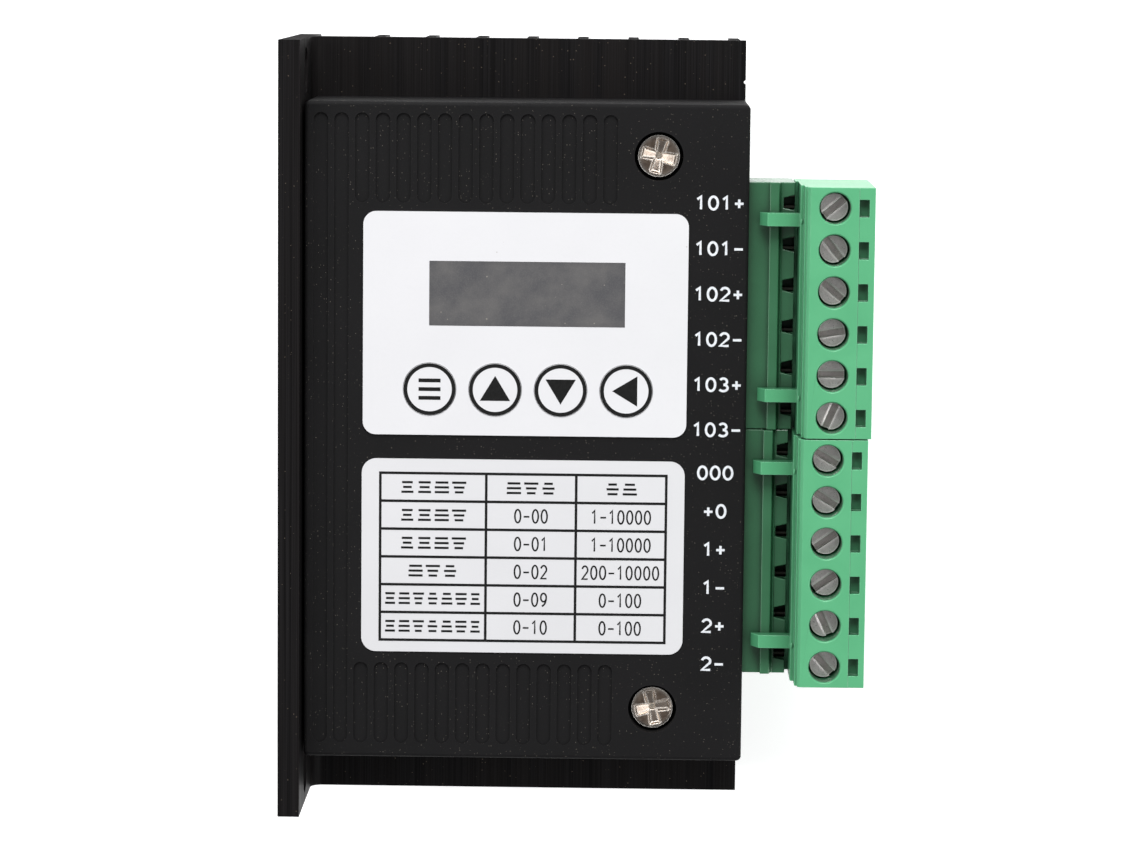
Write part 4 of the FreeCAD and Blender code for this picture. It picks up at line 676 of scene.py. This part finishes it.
def write(shape, text, x, y, low, style):
    """Row of numerals and signs, centred on a point."""
    step = style["width"] + style["gap"]
    left = x - (len(text) * step - style["gap"]) / 2
    for place, mark in enumerate(text):
        corner = left + place * step
        for order, path in enumerate(numeral_strokes(mark)):
            points = [(corner + u * style["width"], y + (v - 0.5) * style["height"]) for u, v in path]
            ribbon(shape, points, style["stroke"], low, low + INK + order * STROKE_LIFT)


def triangle(turn):
    """Outline of a triangle whose point looks up before it is turned."""
    corners = ((0, TRIANGLE_POINT), (-TRIANGLE_HALF, -TRIANGLE_BASE), (TRIANGLE_HALF, -TRIANGLE_BASE))
    spin = Matrix.Rotation(math.radians(turn), 2)
    return [tuple(spin @ Vector(corner)) for corner in corners]


def draw_key_print(shape, key):
    """A ring with a triangle or three bars inside it."""
    centre = middle("key_" + key)
    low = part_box("key_" + key)[1].z
    high = low + INK
    ring(shape, centre.x, centre.y, RING_OUTER, RING_OUTER - RING_STROKE, low, high)
    if key in TRIANGLE_TURNS:
        outline = [(centre.x + x, centre.y + y) for x, y in triangle(TRIANGLE_TURNS[key])]
        prism(shape, outline, low, high)
        return
    for row in (-1, 0, 1):
        y = centre.y + row * MENU_BAR_SPACING
        bar(shape, centre.x, y, MENU_BAR_LENGTH, MENU_BAR_STROKE, low, high)


def draw_table(shape):
    """Ruled table: bars for headings and names, numerals for codes and values."""
    label_low, label_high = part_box("parameter_label")
    low = label_high.z
    left = label_low.x + TABLE_LEFT
    top = label_high.y - TABLE_TOP
    width = sum(TABLE_COLUMNS)
    rows = len(TABLE_NAMES) + 1
    height = rows * TABLE_ROW
    for column in range(len(TABLE_COLUMNS) + 1):
        x = left + sum(TABLE_COLUMNS[:column])
        bar(shape, x, top - height / 2, TABLE_LINE, height + TABLE_LINE, low, low + INK)
    for row in range(rows + 1):
        y = top - row * TABLE_ROW
        bar(shape, left + width / 2, y, width + TABLE_LINE, TABLE_LINE, low, low + INK + STROKE_LIFT)
    centres = [left + sum(TABLE_COLUMNS[:column]) + TABLE_COLUMNS[column] / 2
               for column in range(len(TABLE_COLUMNS))]
    for x, signs in zip(centres, TABLE_HEADINGS):
        draw_word(shape, signs, x, top - TABLE_ROW / 2, low)
    for row, (signs, code, value) in enumerate(zip(TABLE_NAMES, TABLE_CODES, TABLE_VALUES), start=1):
        y = top - (row + 0.5) * TABLE_ROW
        draw_word(shape, signs, centres[0], y, low)
        write(shape, code, centres[1], y, low, TABLE_NUMERALS)
        write(shape, value, centres[2], y, low, TABLE_NUMERALS)


def draw_word(shape, signs, x, y, low):
    """Rows of short bars that stand in for a written word."""
    step = min(SIGN_WIDTH + SIGN_GAP, WIDEST_WORD / signs)
    width = step - SIGN_GAP
    left = x - (signs * step - SIGN_GAP) / 2
    for sign in range(signs):
        centre = left + sign * step + width / 2
        for row in (-1, 0, 1):
            share = SIGN_BAR_SHARES[(3 * sign + 2 * row + signs) % len(SIGN_BAR_SHARES)]
            bar(shape, centre, y + row * SIGN_BAR_SPACING, share * width, SIGN_BAR, low, low + INK)


def draw_terminal_numbers(shape):
    """Numbers on the cover in two groups, one for each row of terminals."""
    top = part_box("cover")[1].z
    for texts, (x, y), step in ((SIGNAL_NUMBERS, SIGNAL_FIRST, SIGNAL_STEP),
                                (POWER_NUMBERS, POWER_FIRST, POWER_STEP)):
        for row, text in enumerate(texts):
            write(shape, text, x, y - row * step, top, TERMINAL_NUMERALS)


def threaded(shape, x, y, low, high, radius):
    """Closed shank with a helical thread."""
    rows = round((high - low) / THREAD_PITCH * THREAD_STEPS)
    loops = []
    for row in range(rows + 1):
        z = low + (high - low) * row / rows
        loop = []
        for i in range(THREAD_POINTS):
            turn = i / THREAD_POINTS
            phase = (z / THREAD_PITCH - turn) % 1.0
            reach = radius - THREAD_DEPTH * abs(2 * phase - 1)
            angle = FULL_TURN * turn
            loop.append(shape.verts.new((x + reach * math.cos(angle), y + reach * math.sin(angle), z)))
        loops.append(loop)
    shape.faces.new(loops[0][::-1])
    shape.faces.new(loops[-1])
    join_loops(shape, loops)


def draw_terminal_screw(shape, node, angle):
    """Slotted head above a threaded shank, both closed."""
    low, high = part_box(node)
    centre = (low + high) / 2
    radius = (high.x - low.x) / 2
    seat = high.z - TERMINAL_HEAD
    threaded(shape, centre.x, centre.y, low.z, seat, TERMINAL_STEM)
    levels = ((seat, SLOT_HALF_WIDTH), (high.z - SLOT_DEPTH, SLOT_HALF_WIDTH),
              (high.z - SLOT_BEVEL_DROP, SLOT_HALF_WIDTH), (high.z, SLOT_HALF_WIDTH + SLOT_BEVEL))
    base, floor, edge, roof = [slot_arcs(shape, centre, z, radius, half_width, math.radians(angle))
                               for z, half_width in levels]
    shape.faces.new((base[0] + base[1])[::-1])
    for side in (0, 1):
        other = 1 - side
        shape.faces.new(roof[side])
        shape.faces.new((base[side][-1], base[other][0], floor[other][0], floor[side][-1]))
        for lower, upper in ((floor, edge), (edge, roof)):
            shape.faces.new((lower[side][0], lower[side][-1], upper[side][-1], upper[side][0]))
        for lower, upper in ((base, floor), (floor, edge), (edge, roof)):
            for i in range(SLOT_ARC_STEPS):
                shape.faces.new((lower[side][i], lower[side][i + 1], upper[side][i + 1], upper[side][i]))
    shape.faces.new((floor[0][0], floor[1][-1], floor[1][0], floor[0][-1]))


def slot_arcs(shape, centre, z, radius, half_width, turn):
    """Outer arcs of the two halves of a slotted head, at one level."""
    opening = math.asin(half_width / radius)
    span = math.pi - 2 * opening
    halves = []
    for start in (opening, opening + math.pi):
        turns = [turn + start + span * i / SLOT_ARC_STEPS for i in range(SLOT_ARC_STEPS + 1)]
        rim = [(centre.x + radius * math.cos(a), centre.y + radius * math.sin(a), z) for a in turns]
        halves.append([shape.verts.new(point) for point in rim])
    return halves


def cross_depth(x, y):
    """Depth of the cross recess under the head's surface: flared arms that slope down to a pit."""
    depth = 0.0
    for along, across in ((abs(x), abs(y)), (abs(y), abs(x))):
        half_width = CROSS_HALF_WIDTH + CROSS_FLARE * along / CROSS_REACH
        side = (half_width - across) / CROSS_WALL
        end = (CROSS_REACH - along) / CROSS_WALL
        wall = max(0.0, min(1.0, side, end))
        wall = wall * wall * (3 - 2 * wall)
        floor = CROSS_DEPTH + CROSS_SLOPE * (1 - min(1.0, along / CROSS_REACH))
        depth = max(depth, wall * floor)
    pit = max(0.0, 1 - math.hypot(x, y) / CROSS_WELL)
    return depth + pit * CROSS_WELL_DEPTH


def head_drop(reach, radius):
    """How far a domed head with a rounded rim lies below its top, at some reach from its middle."""
    rim = max(0.0, reach - (radius - HEAD_ROUND)) / HEAD_ROUND
    rounding = HEAD_ROUND * (1 - math.sqrt(max(0.0, 1 - rim * rim)))
    return HEAD_RISE * (reach / radius) ** 2 + rounding


def cross_head(shape, x, y, seat, top, radius, angle):
    """Domed head with a cross recess, as rings of points, closed underneath."""
    spin = math.radians(angle)
    turns = [FULL_TURN * i / HEAD_POINTS for i in range(HEAD_POINTS)]
    loops = [[shape.verts.new((x + radius * math.cos(a), y + radius * math.sin(a), seat)) for a in turns]]
    for step in range(HEAD_RINGS):
        inward = step / HEAD_RINGS
        reach = radius * (math.sqrt(1 - inward ** 2) if step < HEAD_RIM_RINGS else 1 - inward)
        level = top - head_drop(reach, radius)
        loop = []
        for a in turns:
            z = level - cross_depth(reach * math.cos(a - spin), reach * math.sin(a - spin))
            loop.append(shape.verts.new((x + reach * math.cos(a), y + reach * math.sin(a), z)))
        loops.append(loop)
    join_loops(shape, loops)
    shape.faces.new(loops[0][::-1])
    shape.faces.new(loops[-1])


def draw_cover_screws(shape):
    """Both screws that hold the cover to the heat sink."""
    low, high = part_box("cover_screws")
    radius = (high.x - low.x) / 2
    x = (low.x + high.x) / 2
    seat = high.z - COVER_HEAD
    for y, angle in zip((low.y + radius, high.y - radius), COVER_ANGLES):
        threaded(shape, x, y, low.z, seat, COVER_STEM)
        cross_head(shape, x, y, seat, high.z, radius, angle)


def draw_nubs(shape, plug):
    """A small rounded nub on the shoulder of a plug, at the root of each latch arm."""
    low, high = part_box(plug)
    x = high.x - PLUG_WIDTH + NUB_INSET
    y = (low.y + high.y) / 2
    for side in (-1, 1):
        dome(shape, x, y + side * ARM_SPACING / 2, NUB_LEVEL)


def dome(shape, x, y, level):
    """Low oval dome with a flat foot and a flat top."""
    loops = []
    for degrees in NUB_TILTS:
        tilt = math.radians(degrees)
        reach = math.cos(tilt)
        z = level + NUB_HEIGHT * math.sin(tilt)
        outline = arc(x, y, reach * NUB_WIDTH / 2, reach * NUB_LENGTH / 2, 0, 345)
        loops.append([shape.verts.new((px, py, z)) for px, py in outline])
    join_loops(shape, loops)
    shape.faces.new(loops[0][::-1])
    shape.faces.new(loops[-1])


def draw_solder(shape):
    """Solder below both rows of header pins."""
    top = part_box("main_board")[0].z
    row_length = PIN_PITCH * (PINS_IN_ROW - 1)
    for name in ("signal", "power"):
        low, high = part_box(name + "_header_pins")
        first = (low.y + high.y - row_length) / 2
        for pin in range(PINS_IN_ROW):
            solder_fillet(shape, low.x + PIN_HALF, first + pin * PIN_PITCH, top)


def solder_fillet(shape, x, y, top):
    """Concave cone of solder that hangs from the board."""
    loops = [[shape.verts.new((px, py, top - drop)) for px, py in circle(x, y, reach, SOLDER_POINTS)]
             for reach, drop in SOLDER_OUTLINE]
    join_loops(shape, loops)
    shape.faces.new(loops[0])
    shape.faces.new(loops[-1][::-1])


def add_prints():
    """Ink on the keys, the label and the cover."""
    black = printing_ink("black_ink", BLACK_INK_SHADES)
    white = printing_ink("white_ink", WHITE_INK_SHADES)
    for key in KEYS:
        piece("key_print_" + key, draw_key_print, (key,), black, "key_" + key)
    piece("label_print", draw_table, (), black, "unit")
    piece("terminal_numbers", draw_terminal_numbers, (), white, "unit")


def add_screws(finishes):
    """Screws with threads and driven heads, in place of the plain CAD ones."""
    for number, angle in enumerate(TERMINAL_ANGLES, start=1):
        name = "screw_%02d" % number
        node = "terminal_" + name
        screw = piece(name, draw_terminal_screw, (node, angle), finishes["zinc_steel"],
                      name, (node,))
        smooth(screw, angle=20)
    smooth(piece("cover_screw_heads", draw_cover_screws, (), finishes["nickel_steel"],
                 "unit", ("cover_screws",)))


def add_mould_and_solder_detail(finishes):
    """Nubs on the plugs and solder under the main board."""
    for plug in ("signal_plug", "power_plug"):
        smooth(piece("mould_nubs_" + plug, draw_nubs, (plug,), finishes["green_polyamide"],
                     plug))
    smooth(piece("solder_joints", draw_solder, (), finishes["tinned_brass"], "unit"))


# ---------------------------------------------------------------- studio

def add_world(scene):
    """Even pale surroundings."""
    world = bpy.data.worlds.new("studio")
    world.use_nodes = True
    background = world.node_tree.nodes["Background"]
    background.inputs["Color"].default_value = WORLD_COLOUR
    background.inputs["Strength"].default_value = WORLD_STRENGTH
    scene.world = world


def add_floor(scene):
    """Wide sheet of pale paper."""
    look = Finish("studio_floor", {"Emission Strength": 0.6, "Emission Color": (1, 1, 1, 1)})
    paper = look.finish(look.ramp(look.noise(40 * MM, detail=3), FLOOR_SHADES), 0.9)
    corners = [(x * FLOOR_HALF, y * FLOOR_HALF, FLOOR_LEVEL)
               for x, y in ((-1, -1), (1, -1), (1, 1), (-1, 1))]
    mesh = bpy.data.meshes.new("studio_floor")
    mesh.from_pydata(corners, [], [(0, 1, 2, 3)])
    mesh.materials.append(paper)
    floor = bpy.data.objects.new("studio_floor", mesh)
    scene.collection.objects.link(floor)


def add_soft_box(scene, name, place, size, power):
    """Square soft box that faces the middle of the object."""
    light = bpy.data.lights.new(name, "AREA")
    light.shape = "SQUARE"
    light.size = size
    light.energy = power
    lamp = bpy.data.objects.new(name, light)
    scene.collection.objects.link(lamp)
    lamp.location = place
    lamp.rotation_euler = (LIGHT_AIM - Vector(place)).to_track_quat("-Z", "Y").to_euler()


def add_camera(scene):
    """Camera that looks down on the cover."""
    camera = bpy.data.cameras.new("camera")
    camera.sensor_width = CAMERA_SENSOR
    camera.lens = CAMERA_LENS
    eye = bpy.data.objects.new("camera", camera)
    scene.collection.objects.link(eye)
    turned = (Matrix.Rotation(CAMERA_ROLL, 3, "Z") @ Matrix.Rotation(CAMERA_TILT, 3, "X")
              @ Matrix.Rotation(CAMERA_SWING, 3, "Y"))
    eye.matrix_world = Matrix.Translation(CAMERA_PLACE) @ turned.transposed().to_4x4()
    scene.camera = eye


def main():
    finishes = assign_finishes()
    add_prints()
    add_screws(finishes)
    add_mould_and_solder_detail(finishes)
    for name in ("signal", "power"):
        soften(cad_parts[name + "_plug"], PLUG_EDGE)
        soften(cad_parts[name + "_header"], HEADER_EDGE)
    scene = bpy.context.scene
    scene.view_settings.view_transform = "Standard"
    add_world(scene)
    add_floor(scene)
    for soft_box in SOFT_BOXES:
        add_soft_box(scene, *soft_box)
    add_camera(scene)


main()
